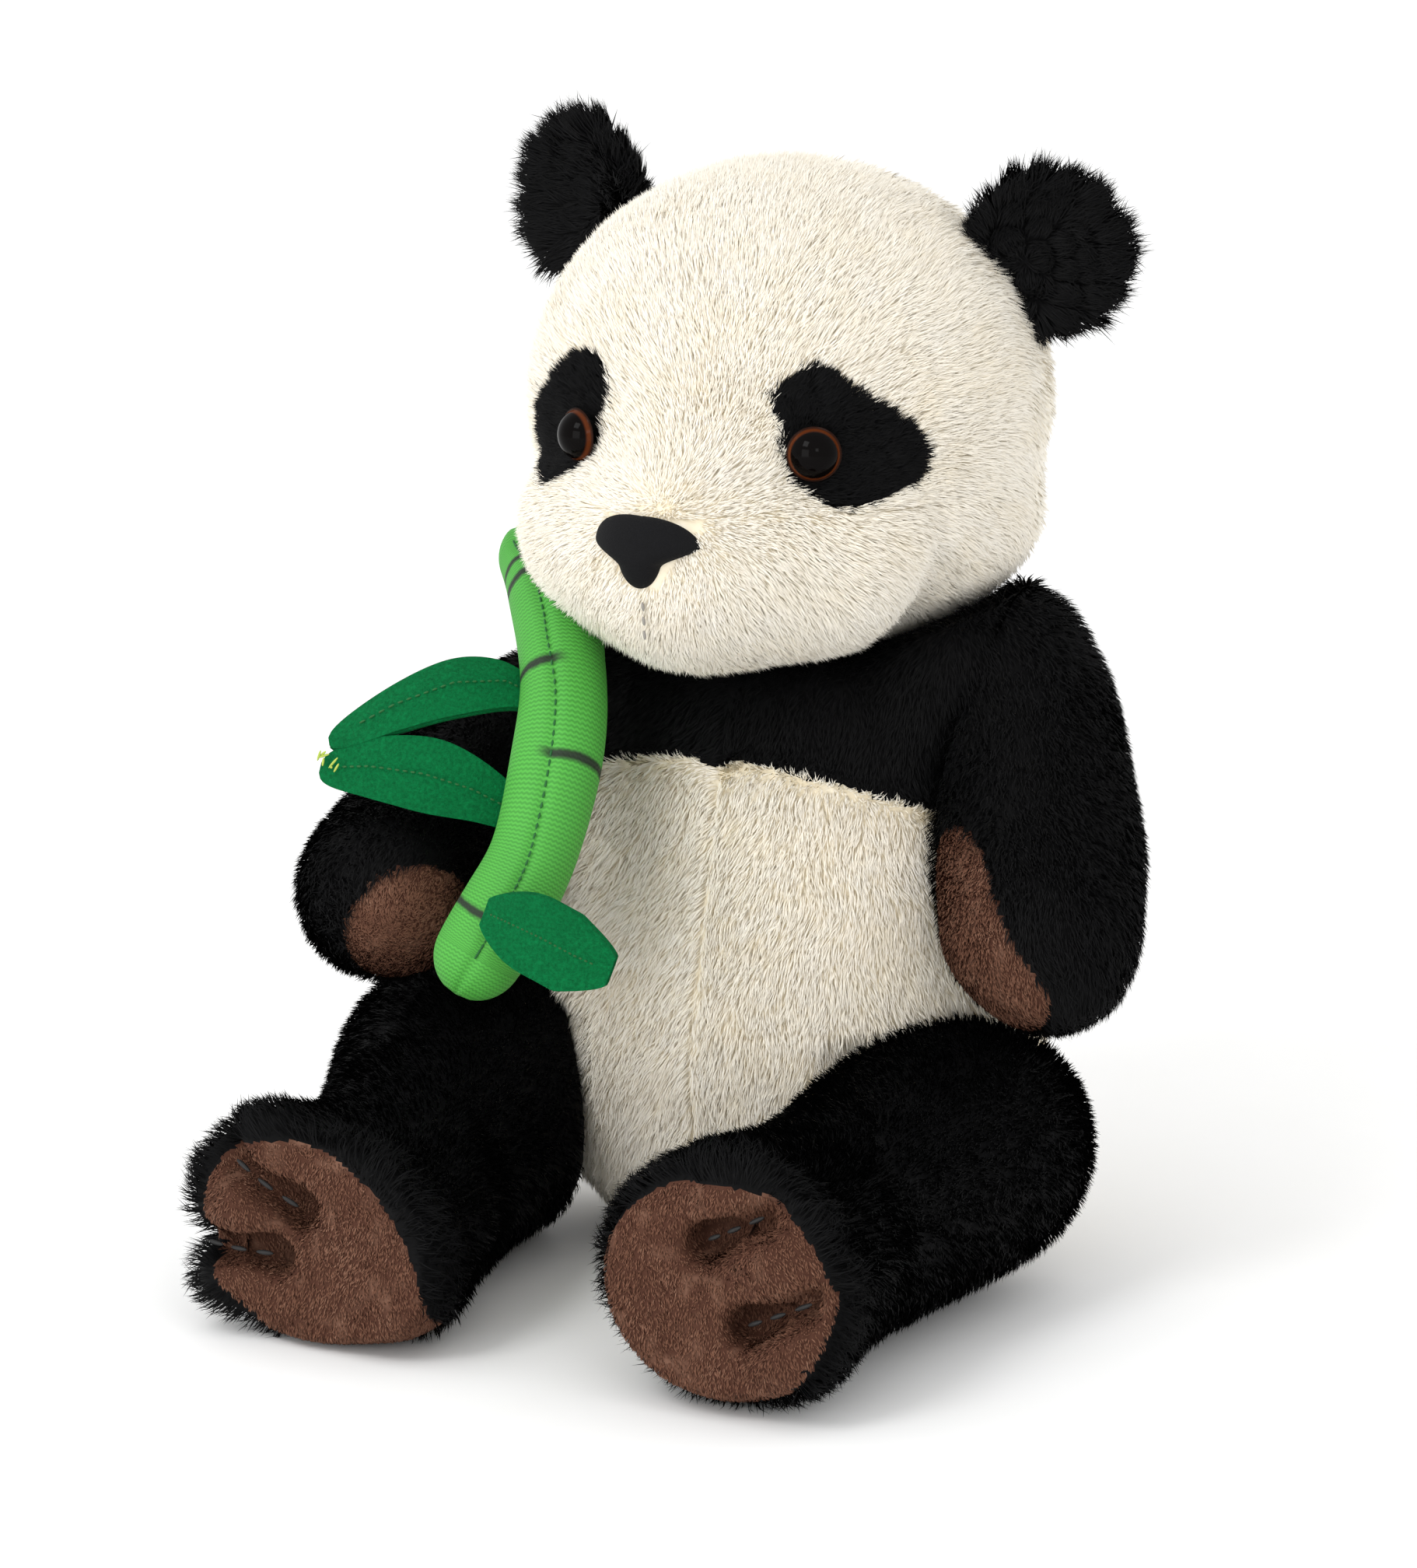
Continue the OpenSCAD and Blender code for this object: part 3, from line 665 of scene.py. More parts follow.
moulded = Finish("washer_plastic_white", Roughness=0.4)
speck = moulded.noise(place_of(moulded), 900.0)
moulded.give(Base_Color=moulded.mix(dye(232, 232, 228), dye(246, 246, 244), speck), Roughness=0.35 + speck * 0.15)


def dress(node, finish):
    """Gives a CAD piece its finish."""
    nodes[node].data.materials.clear()
    nodes[node].data.materials.append(finish.material)


dress("eye_washer_left", moulded)
dress("eye_washer_right", moulded)

# ---------------------------------------------------------------------------
# Nose and mouth
# The nose is a flocked plastic triangle with a blunt stem. Under it a few
# grey stitches pull the muzzle in.
# ---------------------------------------------------------------------------
flock = Finish("nose_flock", Roughness=0.9)
flock.shader.inputs["Specular IOR Level"].default_value = 0.15
fuzz = flock.noise(place_of(flock), 2600.0, 3.0, 0.6)
flock.give(Base_Color=flock.mix(dye(9, 9, 10), dye(24, 24, 26), fuzz), Normal=flock.bump(fuzz, 0.6, 0.0004))
bpy.ops.mesh.primitive_uv_sphere_add(segments=64, ring_count=48, radius=1.0)
nose = bpy.context.object
nose.name = "nose_flocked"
p = spots(nose)
down = np.clip((0.9 - p[:, 2]) / 1.9, 0, 1)
fall = np.clip((down - 0.38) / 0.30, 0, 1)
wide = 13.8 * (1 - 0.60 * fall * fall * (3 - 2 * fall))
x = p[:, 0] * wide - 0.8
z = 182.6 + 8.6 * p[:, 2] + 0.06 * np.abs(x) * np.clip(p[:, 2], 0, 1)
y = -80.2 + 5.0 * p[:, 1] + 0.028 * x * x - 0.10 * (z - 182)
put(nose, np.stack([x, y, z], 1) / 1000)
bpy.ops.object.shade_smooth()
nose.data.materials.append(flock.material)
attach(nose, "head")
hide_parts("nose")


def thread(name, colour, deep):
    """Twisted sewing thread."""
    finish = Finish(name, Roughness=0.6)
    twist = finish.node("ShaderNodeTexWave", {"wave_type": "BANDS", "bands_direction": "DIAGONAL"},
                        {"Vector": place_of(finish), "Scale": 1400.0})
    return finish.give(Base_Color=finish.mix(deep, colour, twist), Normal=finish.bump(twist, 0.5, 0.0001))


def stitches(name, marks, finish, body, node, thick=0.5):
    """Short runs of thread, each a slim capsule between two points in millimetres."""
    made = []
    for a, b in marks:
        a, b = np.array(a, float), np.array(b, float)
        bpy.ops.mesh.primitive_uv_sphere_add(segments=10, ring_count=8, radius=1.0)
        run = bpy.context.object
        q = spots(run)
        way = unit(b - a)
        cross = unit(np.cross(way, (0.3, 0.2, 0.93)))
        other = np.cross(way, cross)
        half = np.linalg.norm(b - a) / 2
        q = (a + b) / 2 + q[:, [2]] * way * half + q[:, [0]] * cross * thick + q[:, [1]] * other * thick
        put(run, q / 1000)
        made.append(run)
    bpy.ops.object.select_all(action="DESELECT")
    for run in made:
        run.select_set(True)
    bpy.context.view_layer.objects.active = made[0]
    bpy.ops.object.join()
    sewn = bpy.context.object
    sewn.name = name
    bpy.ops.object.mode_set(mode="EDIT")
    bpy.ops.mesh.select_all(action="SELECT")
    bpy.ops.mesh.normals_make_consistent(inside=False)
    bpy.ops.object.mode_set(mode="OBJECT")
    bpy.ops.object.shade_smooth()
    sewn.data.materials.append(finish.material)
    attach(sewn, body)
    if node:
        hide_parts(node)
    return sewn


grey_thread = thread("grey_thread", dye(170, 166, 158), dye(110, 106, 100))
black_thread = thread("black_thread", dye(22, 20, 20), dye(8, 8, 8))
mouth = [((0, -80.2 + 0.42 * k, 171 - 3.4 * k), (0.2, -79.9 + 0.42 * k, 168.8 - 3.4 * k)) for k in range(3)]
stitches("mouth_stitching", mouth, grey_thread, "head", "mouth_stitch", 0.4)

# ---------------------------------------------------------------------------
# Ears: two rounds of black plush sewn edge to edge, cupped forward
# The longest pile of the toy stands off their rims.
# ---------------------------------------------------------------------------
for s, side in ((1, "left"), (-1, "right")):
    up = unit(np.array([s * 0.81, 0.33, 0.48]))
    back = np.array([s * -0.37, 0.93, 0.0])
    back = unit(back - (back @ up) * up)
    wide = np.cross(back, up)
    base = np.array([s * 58.5, 13.0, 246.2 - s * 3.4]) - up * 14.5
    flat = stuffed(f"ear_{side}_form", [((0, 0, 0), (34 - s, 8, 36 - s))], cell=2.0, smooth=2, swell=0.8)
    q = flat.points
    reach = np.hypot(q[:, 0] / 16, q[:, 2] / 19)
    q = np.stack([q[:, 0] * (1 + 0.16 * q[:, 2] / 19), q[:, 1] - 5.5 * reach ** 2 + 2.5, q[:, 2]], 1)
    flat.points = base + up * 14.5 + q[:, [0]] * wide + q[:, [1]] * back + q[:, [2]] * up
    flat.settle()
    middle = base + up * 12

    def ear_brush(p, middle=middle, up=up):
        return unit(p - middle) + 0.5 * up

    for half, sign in (("front", -1), ("back", 1)):

        def ear_zone(p, flat=flat, base=base, wide=wide, back=back, up=up, sign=sign):
            local = p - base - up * 14.5
            r = np.hypot(local @ wide / 16, local @ up / 19)
            return (local @ back + 5.5 * r ** 2 - 2.5) * sign >= 0

        panel(f"ear_{side}_{half}", flat, ear_zone,
              Pile(black, 8200, lambda p, m=middle: 4.6
                   + 5.0 * np.clip(np.linalg.norm(p - m, axis=1) / 18, 0, 1) ** 2,
                   ear_brush, slant=0.72, tuft=5.5, gather=0.8, stray=0.24, width=0.42),
              f"ear_{side}", 60 + 3 * s + sign)

# ---------------------------------------------------------------------------
# Torso: a black yoke over a cream belly and back
# The belly is two pieces with a seam down the middle, and its upper edge
# rolls over the yoke. The seat is an oval that closes it underneath.
# ---------------------------------------------------------------------------
torso = stuffed("torso_form",
                limb(((0, -2, 50), under_pile(136, 112, 124)), ((0, 4, 122), under_pile(132, 88, 88)), steps=6)
                + [((-46, 2, 136), under_pile(46, 58, 46)), ((46, 3, 146), under_pile(52, 60, 54))],
                cell=4.0, smooth=6)
p = torso.points
side_room = 60.2 + 30 * np.clip((70 - p[:, 2]) / 20, 0, 1)
p[:, 0] = np.clip(p[:, 0], -side_room, side_room)
dish = 185.5 - 42 * np.sqrt(np.clip(1 - (np.hypot(p[:, 0], p[:, 1]) / 68) ** 2, 0, 1))
p[:, 2] = np.where(np.hypot(p[:, 0], p[:, 1]) < 68, np.minimum(p[:, 2], dish), p[:, 2])
for s in (-1, 1):
    reach = (s * p[:, 0] - p[:, 1]) * 0.7071
    limit = 55.0 + 40 * np.clip((p[:, 2] - 62) / 10, 0, 1)
    over = np.maximum(reach - limit, 0)[:, None]
    p = p - over * np.array([s * 0.7071, -0.7071, 0])
p[:, 2] = np.maximum(p[:, 2], 1.2)
torso.points = p
torso.settle()


def belly_top(x):
    return 125.5 - 0.0042 * x * x - 2.0 * np.exp(-((x + 1) / 4) ** 2)


torso.crease([(0, -60, 4), (0, -62, 50), (0, -52, 90), (0, -40, 125)], 1.3, 2.6)
edge = [(x, -44 + 0.006 * x * x, float(belly_top(np.array(x)))) for x in range(-56, 57, 8)]
gap, _ = line_gap(torso.points, edge)
torso.points += torso.normals * (1.6 * np.exp(-((gap / 5) ** 2)) * (torso.points[:, 1] < 0))[:, None]
torso.settle()


def brush_down(p):
    flow = np.stack([0.10 * p[:, 0] / 50, np.full(len(p), -0.15), -np.ones(len(p))], 1)
    seam = np.exp(-((p[:, 0] / 4.0) ** 2)) * (p[:, 1] < 0)
    flow[:, 0] += 0.35 * np.sign(p[:, 0]) * seam
    top = np.exp(-(((p[:, 2] - belly_top(p[:, 0])) / 4.0) ** 2)) * (p[:, 1] < 4)
    flow[:, 2] += 1.12 * top
    return flow


def belly_slant(p):
    """The pile stands up where the belly laps the yoke."""
    return 0.74 - 0.58 * np.exp(-(((p[:, 2] - belly_top(p[:, 0]) + 1) / 5.0) ** 2)) * (p[:, 1] < 4)


def front(p):
    return p[:, 1] < 4


def belly_length(p):
    """A little shorter where the belly laps the yoke."""
    lap = np.exp(-(((p[:, 2] - belly_top(p[:, 0])) / 5.0) ** 2)) * (p[:, 1] < 4)
    return 5.0 - 0.6 * lap


def low_on_torso(p):
    return p[:, 2] < np.where(front(p), belly_top(p[:, 0]), 125)


def on_seat(p):
    return (p[:, 2] < 4) & (np.hypot(p[:, 0] / 38, p[:, 1] / 31.4) < 1)


torso_pile = dict(length=belly_length, comb=brush_down, slant=belly_slant, tuft=6.0, gather=0.16)
for s, side in ((1, "left"), (-1, "right")):
    panel(f"belly_{side}", torso, lambda p: low_on_torso(p) & front(p) & ~on_seat(p) & (p[:, 0] * s >= 0),
          Pile(cream, 42000, **torso_pile), "torso", 80 + s)
panel("back_lower", torso, lambda p: low_on_torso(p) & ~front(p) & ~on_seat(p),
      Pile(cream, 27000, **{**torso_pile, "width": 0.6}), "torso", 84)
panel("chest_yoke", torso, lambda p: ~low_on_torso(p) & front(p), Pile(black, 24000, **torso_pile), "torso",
      86)
panel("back_yoke", torso, lambda p: ~low_on_torso(p) & ~front(p), Pile(black, 18000, **{**torso_pile, "width": 0.6}),
      "torso", 88)
panel("seat_panel", torso, on_seat, Pile(cream, 5000, 2.0, brush_down, slant=1.2), "torso", 90)
filling("torso_filling", torso, "torso")
dress("neck_filling", fibre)
canvas = Finish("pellet_bag_canvas", Roughness=0.85)
weave = canvas.node("ShaderNodeTexWave", {"wave_type": "BANDS", "bands_direction": "Z"},
                    {"Vector": place_of(canvas), "Scale": 500.0})
cross_weave = canvas.node("ShaderNodeTexWave", {"wave_type": "BANDS", "bands_direction": "X"},
                          {"Vector": place_of(canvas), "Scale": 500.0})
canvas.give(Base_Color=canvas.mix(dye(190, 199, 206), dye(214, 222, 228), weave * cross_weave),
            Normal=canvas.bump(weave * cross_weave, 0.4, 0.0003))
dress("pellet_bag", canvas)

# ---------------------------------------------------------------------------
# Arms: black plush sleeves with brown paw pads
# Each is an outer and an inner panel sewn into the shoulder seam, with a
# pointed oval of short velboa at the paw.
# ---------------------------------------------------------------------------
# The first colour is the roots, darker than the tips as painted shade in the depth of the pile.
velboa = plush("brown_velboa_pile", dye(74, 46, 35), dye(116, 80, 63), dye(82, 53, 41), dye(144, 108, 89), 0.8,
               shine=0.12)
arm_balls = {
    1: [((54, 3, 146), under_pile(48, 50, 47)), ((60, 0, 134), under_pile(52, 54, 52)),
        ((66, -8, 121), under_pile(54, 54, 53)), ((74, -20, 105), under_pile(55, 54, 54)),
        ((80.5, -35, 92), under_pile(53, 50, 49)), ((84, -39, 86), under_pile(45, 46, 39))],
    -1: [((-66, 2, 117), under_pile(50, 50, 50)), ((-74, -26, 108), under_pile(48, 50, 50)),
         ((-75, -50, 99), under_pile(48, 50, 48)), ((-72, -73, 93), under_pile(50, 44, 48))],
}
pads = {
    1: (np.array([77.5, -40, 90.5]), unit(np.array([-0.66, -0.74, -0.12])), unit(np.array([0.62, -0.30, -0.76])),
        31.0, 15.0),
    -1: (np.array([-62.0, -76, 92]), unit(np.array([0.66, -0.66, -0.36])), unit(np.array([-0.62, -0.20, -0.70])),
         34.0, 21.0),
}
for s, side in ((1, "left"), (-1, "right")):
    arm = stuffed(f"arm_{side}_form", limb(*arm_balls[s], steps=4), cell=4.0, smooth=4)
    p = arm.points
    keep_off = 60.8 - 16 * np.clip((-14 - p[:, 1]) / 22, 0, 1)
    p[:, 0] = s * np.maximum(s * p[:, 0], keep_off)
    arm.points = p
    arm.settle()
    middle, out, along, long_half, wide_half = pads[s]
    along = unit(along - (along @ out) * out)
    width_way = np.cross(out, along)

    def on_pad(p, middle=middle, out=out, along=along, width_way=width_way, a=long_half, b=wide_half):
        q = p - middle
        return (np.hypot(q @ along / a, q @ width_way / b) < 1) & (q @ out > 3)

    spine = [b[0] for b in arm_balls[s]]

    def down_arm(p, spine=spine):
        ends = unit(np.diff(np.array(spine, float), axis=0))
        mids = (np.array(spine[:-1]) + np.array(spine[1:])) / 2
        share = np.exp(-(np.linalg.norm(p[:, None] - mids[None], axis=2) / 18) ** 2) + 1e-6
        return (share[:, :, None] * ends[None]).sum(1) / share.sum(1, keepdims=True)

    def shoulder_face(p, s=s):
        return (s * p[:, 0] < 61.2) & (p[:, 1] > -4) & (p[:, 2] < 150)

    hinge = ("torso", f"arm_{side}", (s * 0.061, 0.0, 0.13), (s * 0.075, -0.006, 0.115))
    for half, outer in (("outer", True), ("inner", False)):
        panel(f"arm_{side}_{half}", arm, lambda p: ((s * p[:, 0] > 77) == outer) & ~on_pad(p),
              Pile(black, 17000, 4.6, down_arm, slant=0.78, tuft=6.0, bare=shoulder_face), f"arm_{side}",
              100 + 5 * s + outer, joint=hinge)
    panel(f"paw_pad_{side}", arm, on_pad,
          Pile(velboa, 9000, 1.7, down_arm, slant=0.9, width=0.3, tuft=2.5, gather=0.25),
          f"arm_{side}", 110 + 5 * s)
    filling(f"arm_{side}_filling", arm, f"arm_{side}", hinge)

# ---------------------------------------------------------------------------
# Legs: black plush with brown soles
# Upper and under panels meet along the sides, and the sole is let into the
# front of the foot, with two stitched creases that pull toes into it.
# ---------------------------------------------------------------------------
leg_balls = {
    1: [((56, -30, 35), under_pile(72, 80, 68)), ((53, -70, 31), under_pile(62, 60, 60)),
        ((50, -96, 30), under_pile(58, 44, 57)), ((48, -110, 30), under_pile(68, 54, 60)),
        ((47, -128, 30), under_pile(68, 56, 63))],
    -1: [((-66, -32, 36), under_pile(84, 80, 72)), ((-61, -66, 31), under_pile(70, 62, 60)),
         ((-57, -92, 28), under_pile(64, 44, 54)), ((-56, -106, 26), under_pile(70, 52, 52)),
         ((-57, -126, 24), under_pile(74, 56, 55))],
}
soles = {
    1: (np.array([46.5, -138.0, 28.5]), np.array([1.0, 0.0]), 28.5, 26.0),
    -1: (np.array([-57.5, -136.0, 23.0]), unit(np.array([-0.86, 0.50])), 32.0, 22.3),
}
toes = {
    1: [((43.5, 40), (59, 48)), ((54.5, 22.3), (72, 30.5))],
    -1: [((-62, 32.5), (-80, 43)), ((-68, 21), (-87, 22))],
}
toe_tops = {1: [(61, 37.5, 9.0), (65, 18, 7.5), (47, 51, 8.0)], -1: [(-78, 31, 8.0), (-72, 45, 7.0), (-82, 14, 7.0)]}
for s, side in ((1, "left"), (-1, "right")):
    balls = limb(*leg_balls[s], steps=4)
    if s < 0:
        balls += limb(((-73, -124, 32), under_pile(46, 56, 44)), ((-42, -126, 20), under_pile(44, 56, 42)), steps=3)
    leg = stuffed(f"leg_{side}_form", balls, cell=3.6, smooth=4)
    p = leg.points
    reach = (s * p[:, 0] - p[:, 1]) * 0.7071
    p = p + np.maximum(58.0 - reach, 0)[:, None] * np.array([s * 0.7071, -0.7071, 0])
    centre, long_way, long_half, wide_half = soles[s]
    face_y = centre[1] + (p[:, 2] - centre[2]) * 0.14 + (0.10 * (np.abs(p[:, 0]) - 54) if s < 0 else 0)
    p[:, 1] = np.where(p[:, 1] < face_y, face_y + (p[:, 1] - face_y) * 0.12, p[:, 1])
    p[:, 2] = np.maximum(p[:, 2], 1.2)
    leg.points = p
    leg.settle()

    def on_sole(p, centre=centre, long_way=long_way, a=long_half, b=wide_half):
        q = p[:, [0, 2]] - centre[[0, 2]]
        short_way = np.array([-long_way[1], long_way[0]])
        return (np.hypot(q @ long_way / a, q @ short_way / b) < 1) & (p[:, 1] < centre[1] + 14)

    ahead = dict(only=lambda p: np.clip((-p[:, 1] - 116) / 12, 0, 1), seen=(1, 0, 1))
    for x, z, r in toe_tops[s]:
        leg.crease([(x, 0, z), (x + 0.1, 0, z)], -5.0, r, **ahead)
    toe_marks = []
    for (x0, z0), (x1, z1) in toes[s]:
        y0, y1 = (centre[1] + (z - centre[2]) * 0.14 - 1.5 for z in (z0, z1))
        leg.crease([(x0, 0, z0), (x0 + 0.1, 0, z0)], 6.0, 4.6, **ahead)
        leg.crease([(x0, 0, z0), (x1, 0, z1)], 9.0, 3.0, **ahead)
        toe_marks += [((x0 + (x1 - x0) * f, y0 + 2.6 - 1.4 * math.sin(3.1 * f), z0 + (z1 - z0) * f),
                       (x0 + (x1 - x0) * (f + 0.22), y0 + 2.6 - 1.4 * math.sin(3.1 * (f + 0.22)),
                        z0 + (z1 - z0) * (f + 0.22)))
                      for f in (0.02, 0.36, 0.70)]

    def down_leg(p, centre=centre, s=s):
        flow = np.stack([np.zeros(len(p)), -np.ones(len(p)), -0.15 * np.ones(len(p))], 1)
        rim = np.clip((-p[:, 1] - 114) / 18, 0, 1)[:, None]
        away_from = p - centre
        away_from[:, 1] = 0
        return flow * (1 - 0.8 * rim) + 1.2 * rim * unit(away_from)

    def leg_length(p):
        return 4.6 + 1.6 * np.clip((-p[:, 1] - 116) / 14, 0, 1)

    def hip_face(p, s=s):
        return ((s * p[:, 0] - p[:, 1]) * 0.7071 < 59.0) & (s * p[:, 0] < 66)

    hinge = ("torso", f"leg_{side}", (s * 0.041, -0.041, 0.03), (s * 0.052, -0.052, 0.03))
    for half, upper in (("upper", True), ("under", False)):
        panel(f"leg_{side}_{half}", leg, lambda p: ((p[:, 2] > 31) == upper) & ~on_sole(p),
              Pile(black, 24000 if upper else 15500, leg_length, down_leg, slant=0.68, tuft=6.0, bare=hip_face),
              f"leg_{side}", 130 + 5 * s + upper, joint=hinge)
    panel(f"sole_{side}", leg, on_sole,
          Pile(velboa, 16000, 1.35, lambda p: np.tile([0.3, 0.0, -1.0], (len(p), 1)), slant=0.9, width=0.3,
               tuft=2.5, gather=0.25),
          f"leg_{side}", 140 + 5 * s)
    stitches(f"toe_stitching_{side}", toe_marks, black_thread, f"leg_{side}", f"toe_stitches_{side}",
             0.6)
    filling(f"leg_{side}_filling", leg, f"leg_{side}", hinge)

# ---------------------------------------------------------------------------
# Bamboo: a stuffed tube of green rib knit
# It is closed by a stitched seam down its front, and dark rings are
# airbrushed on it for the joints of the cane.
# ---------------------------------------------------------------------------
knit = Finish("green_rib_knit", Roughness=0.7)
weft = knit.node("ShaderNodeUVMap", {"uv_map": "KnitMap"})
round_it = knit.node("ShaderNodeSeparateXYZ", {}, {0: weft}, 0)
up_it = knit.node("ShaderNodeSeparateXYZ", {}, {0: weft}, 1)
zig = knit.node("ShaderNodeMath", {"operation": "PINGPONG"}, {0: round_it * 96.0, 1: 1.0})
rib = knit.node("ShaderNodeMath", {"operation": "SINE"}, {0: (up_it * 140.0 + zig * 0.34) * 6.2832}) * 0.5 + 0.5
cloudy = knit.noise(weft, 9.0, 3.0)
green = knit.mix(dye(50, 132, 40), dye(80, 176, 62), rib * 0.7 + cloudy * 0.3)
for place, start, stop, thin in ((0.165, 0.0, 0.62, 0.012), (0.455, 0.46, 1.0, 0.012), (0.60, 0.0, 0.55, 0.012),
                                 (0.785, 0.0, 1.0, 0.013), (0.835, 0.0, 1.0, 0.013)):
    wander = up_it + knit.noise(weft, 14.0, 2.0) * 0.010 - (place + 0.005)
    line = 1.0 - knit.smooth(knit.node("ShaderNodeMath", {"operation": "ABSOLUTE"}, {0: wander}), thin * 0.25, thin)
    if stop - start < 1:
        line = line * knit.smooth(round_it, start - 0.03, start
                                  + 0.05) * (1.0 - knit.smooth(round_it, stop - 0.05, stop + 0.03))
    green = knit.mix(green, dye(12, 26, 12), line * 0.97)
knit.give(Base_Color=green, Normal=knit.bump(rib, 0.4, 0.0003))
bpy.ops.mesh.primitive_uv_sphere_add(segments=72, ring_count=220, radius=1.0)
stalk = bpy.context.object
stalk.name = "stalk_knit"
p = spots(stalk)
share = np.arccos(np.clip(-p[:, 2], -1, 1)) / math.pi
length_mm = np.linalg.norm(np.diff(cane, axis=0), axis=1).sum()
spot = share * (length_mm + 21) - 10.5
cap = np.clip(np.maximum(-spot, spot - length_mm) / 10.5, 0, 1)
radius = 10.5 * np.sqrt(1 - cap ** 2)
radius *= 1 + 0.030 * np.sin(spot / length_mm * 17) * (1 - cap)
place, way = curve(cane, spot / length_mm)
place = place + way * (np.clip(spot, None, 0) + np.clip(spot - length_mm, 0, None))[:, None]
ahead = np.array([0.30, -0.95, 0.0])
ahead = unit(ahead - (way * ahead).sum(1, keepdims=True) * way)
beside = np.cross(way, ahead)
angle = np.arctan2(p[:, 1], p[:, 0])
seam_dip = 0.8 * np.exp(-((angle / 0.13) ** 2))
q = place + (radius - seam_dip)[:, None] * (np.cos(angle)[:, None] * ahead + np.sin(angle)[:, None] * beside)
put(stalk, q / 1000)
layer = stalk.data.uv_layers.new(name="KnitMap")
loops = corner_points(stalk)
starts = np.zeros(len(stalk.data.polygons), np.int64)
totals = np.zeros(len(stalk.data.polygons), np.int64)
stalk.data.polygons.foreach_get("loop_start", starts)
stalk.data.polygons.foreach_get("loop_total", totals)
turn_share = (angle / (2 * math.pi) + 0.5)[loops]
pole = np.hypot(p[loops, 0], p[loops, 1]) < 1e-4
face_of = np.repeat(np.arange(len(starts)), totals)
top = np.zeros(len(starts))
np.maximum.at(top, face_of[~pole], turn_share[~pole])
low = np.ones(len(starts))
np.minimum.at(low, face_of[~pole], turn_share[~pole])
wrap = (top - low > 0.5)[face_of]
turn_share = np.where(wrap & (turn_share < 0.5), turn_share + 1, turn_share)
turn_share = np.where(pole, low[face_of], turn_share)
layer.data.foreach_set("uv", np.stack([turn_share, share[loops]], 1).astype(np.float32).ravel())
bpy.ops.object.shade_smooth()
bpy.ops.object.mode_set(mode="EDIT")
bpy.ops.mesh.select_all(action="SELECT")
bpy.ops.mesh.normals_make_consistent(inside=False)
bpy.ops.object.mode_set(mode="OBJECT")
stalk.data.materials.append(knit.material)
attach(stalk, "bamboo")
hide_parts("stalk_cover", "stalk_filling")
green_thread = thread("dark_green_thread", dye(20, 112, 44), dye(8, 66, 26))
f = np.linspace(0.01, 0.97, 54)
place, way = curve(cane, f)
ahead = unit(np.array([0.30, -0.95, 0.0]) - (way * np.array([0.30, -0.95, 0.0])).sum(1, keepdims=True) * way)
front_line = place + ahead * 10.1
stitches("stalk_seam_stitching", [(front_line[k] - way[k] * 0.85, front_line[k] + way[k] * 0.85)
                                  for k in range(len(f))], green_thread, "bamboo", "stalk_seam", 0.28)

# ---------------------------------------------------------------------------
# Leaves: green felt, each cut twice and stitched through
# Two long leaves spring from the back of the cane, tied at their points with
# a bright thread, and a small one sits across its foot.
# ---------------------------------------------------------------------------
felt = Finish("green_felt", Roughness=0.95)
felt.shader.inputs["Specular IOR Level"].default_value = 0.1
lay = place_of(felt)
fibres = felt.smooth(felt.noise(lay, 1100.0, 5.0, 0.75), 0.15, 0.85)
cloudy = felt.noise(lay, 120.0, 3.0)
felt.give(Base_Color=felt.mix(felt.mix(dye(0, 88, 46), dye(16, 158, 88), fibres), dye(2, 108, 56), cloudy * 0.4),
          Normal=felt.bump(fibres, 1.0, 0.0009))


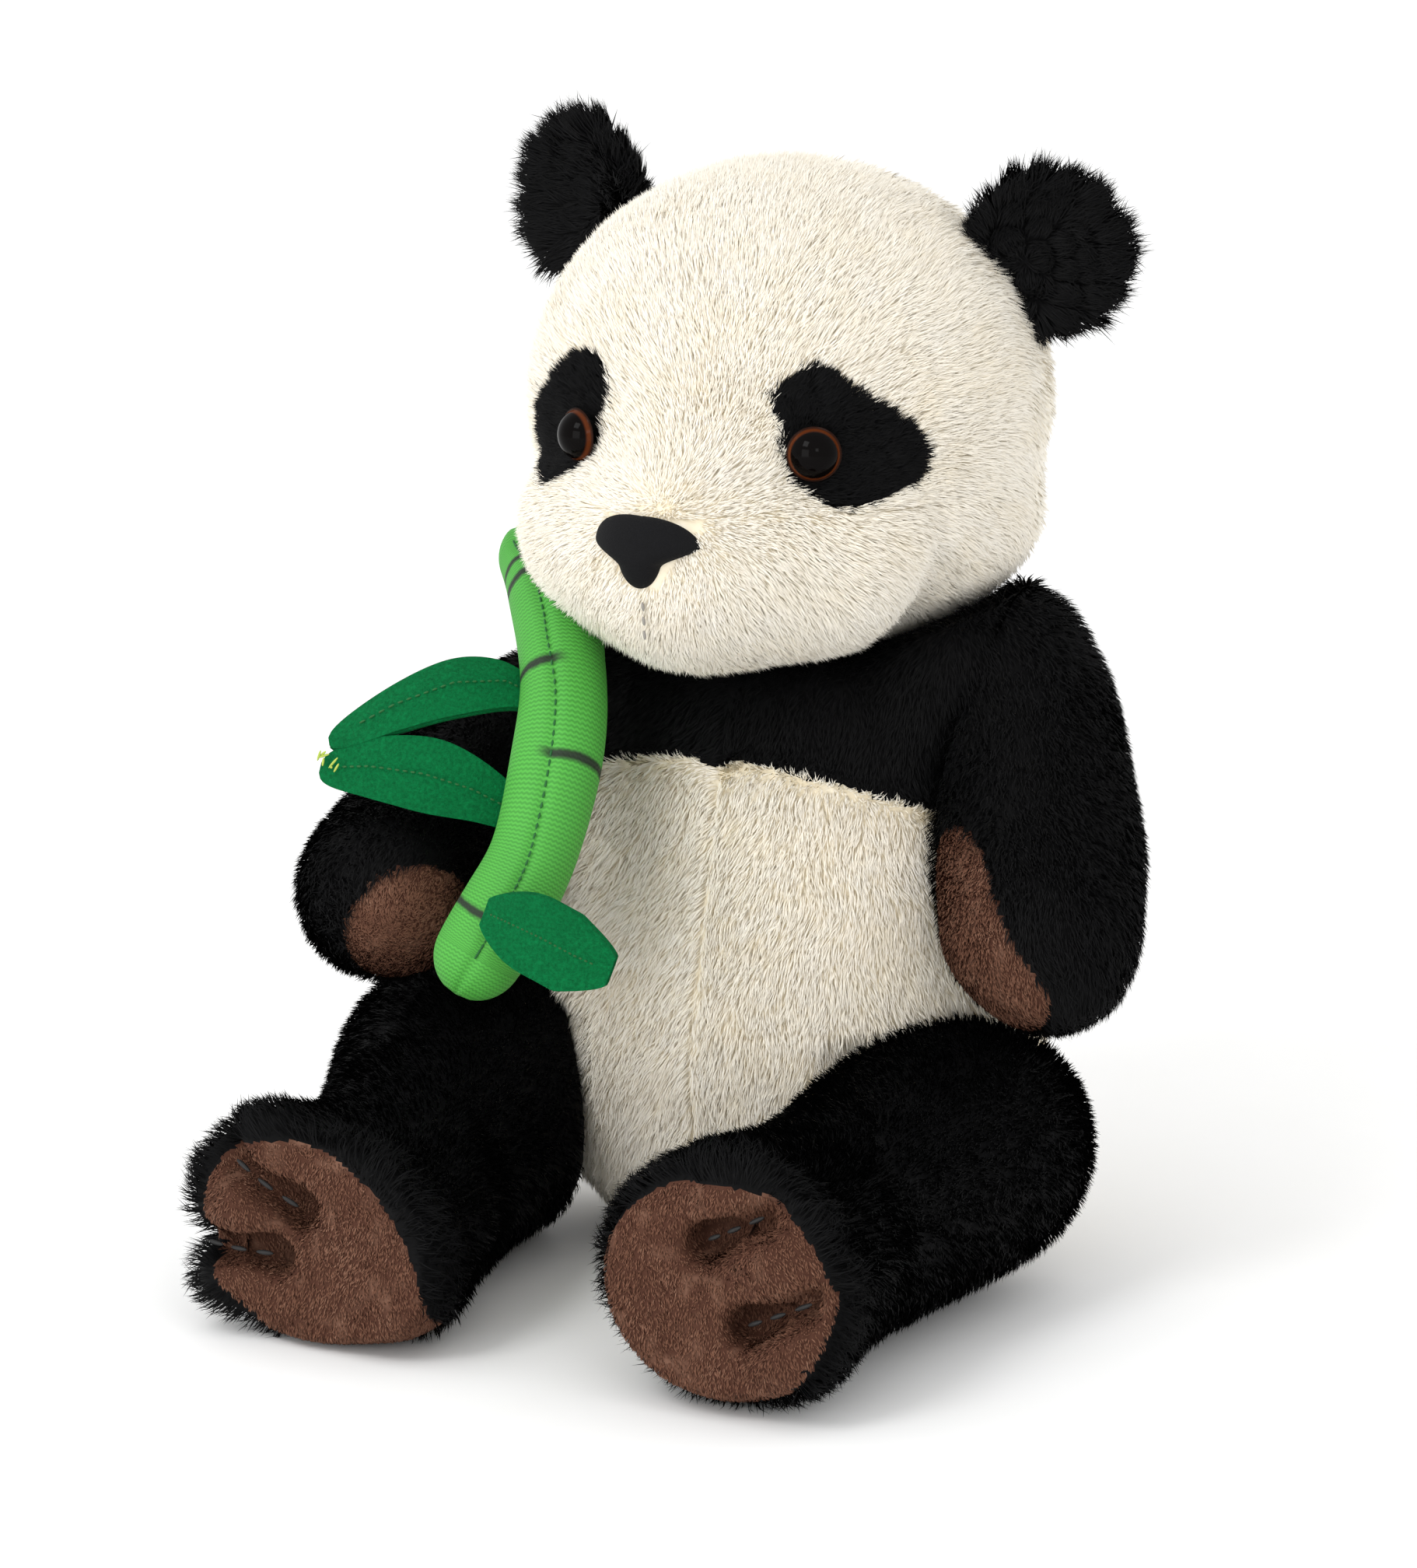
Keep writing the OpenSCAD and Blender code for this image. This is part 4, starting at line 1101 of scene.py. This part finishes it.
def leaf(name, spine, width, tilt, node, body, layer, profile):
    """One layer of felt, laid along a curved spine in millimetres."""
    spine = np.array(spine, float)
    bpy.ops.mesh.primitive_grid_add(x_subdivisions=44, y_subdivisions=14, size=2)
    sheet = bpy.context.object
    sheet.name = name
    q = spots(sheet)
    f = (q[:, 0] + 1) / 2
    place, _ = curve(spine, f)
    way = unit(spine[-1] - spine[0])
    across_leaf = unit(np.array(tilt, float) - (np.array(tilt) @ way) * way)
    up_leaf = np.cross(way, across_leaf)
    half = width / 2 * profile(f)
    v = q[:, 1] * half
    cup = 0.01925 * v * v
    put(sheet, (place + v[:, None] * across_leaf + (cup + layer)[:, None] * up_leaf) / 1000)
    thick = sheet.modifiers.new("Felt", "SOLIDIFY")
    thick.thickness, thick.offset = 0.0011, 0
    bpy.ops.object.modifier_apply(modifier="Felt")
    bpy.ops.object.shade_smooth_by_angle(angle=0.7)
    sheet.data.materials.append(felt.material)
    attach(sheet, body)
    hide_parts(node)
    cut = np.linalg.norm(np.diff(spine, axis=0), axis=1).sum() / 1000
    width / 1000 * cut * profile(np.linspace(0, 1, 200)).mean()
    if layer > 0:
        rib_at = np.linspace(0.06, 0.9, 24)
        line = np.stack([np.interp(rib_at * (len(spine) - 1), np.arange(len(spine)), spine[:, c]) for c in range(3)],
                        1)
        line = line + up_leaf * (1.25 if up_leaf[1] < 0 else -1.9)
        stitches(name + "_midrib", [(a, a + (b - a) * 0.62) for a, b in zip(line, line[1:])], green_thread, body,
                 None, 0.27)
    return sheet


def long_leaf(f):
    rise = 0.42 + 0.58 * np.sin(np.clip(f / 0.55, 0, 1) * math.pi / 2)
    return rise * np.sqrt(np.clip(1 - np.clip((f - 0.42) / 0.585, 0, 1) ** 1.7, 0, 1)) + 0.02


def short_leaf(f):
    rise = 0.35 + 0.65 * np.sin(np.clip(f / 0.5, 0, 1) * math.pi / 2)
    return rise * np.where(f > 0.72, 1 - 0.62 * (np.clip(f - 0.72, 0, 1) / 0.28) ** 1.2, 1)


upper_spine = [(-36, -60, 140), (-44, -64, 144.5), (-54, -71, 144.5), (-66, -78, 139.5), (-81, -83.5, 130.5)]
lower_spine = [(-35, -74, 116), (-45, -79, 122), (-56, -83, 125.5), (-69, -85.5, 126.5), (-82, -86, 125)]
small_spine = [(-27, -106.5, 101), (-20, -108, 99.5), (-12, -108, 97), (-4, -107, 93.5), (4.5, -105, 90)]
for which, spine, tilt, body, flat, width, profile in (
    ("leaf_upper", upper_spine, (0.20, 0.72, 0.66), "leaf_pair", (0.021, 0.052), 15.5, long_leaf),
    ("leaf_lower", lower_spine, (0.10, 0.35, 0.93), "leaf_pair", (0.021, 0.050), 17.5, long_leaf),
    ("small_leaf", small_spine, (0.05, 0.10, 0.99), "small_leaf", (0.021, 0.036), 19, short_leaf),
):
    for half, layer in (("front", 0.6), ("back", -0.6)):
        leaf(f"{which}_{half}_felt", spine, width, tilt, f"{which}_{half}", body, layer, profile)

tie_thread = thread("yellow_green_thread", dye(196, 214, 96), dye(150, 170, 60))
tip = np.array([-79.0, -87.0, 127.5])
tie = []
for k in range(7):
    a = k * 0.9
    tie.append((tip + (3 * math.sin(a), -1 + 0.6 * math.cos(a), 1.5 * math.cos(a)),
                tip + (3 * math.sin(a) - 3 + 0.8 * k, -1.2, 2.6 * math.cos(a + 1.4))))
stitches("leaf_tie_thread", tie, tie_thread, "leaf_pair", "leaf_tie", 0.3)
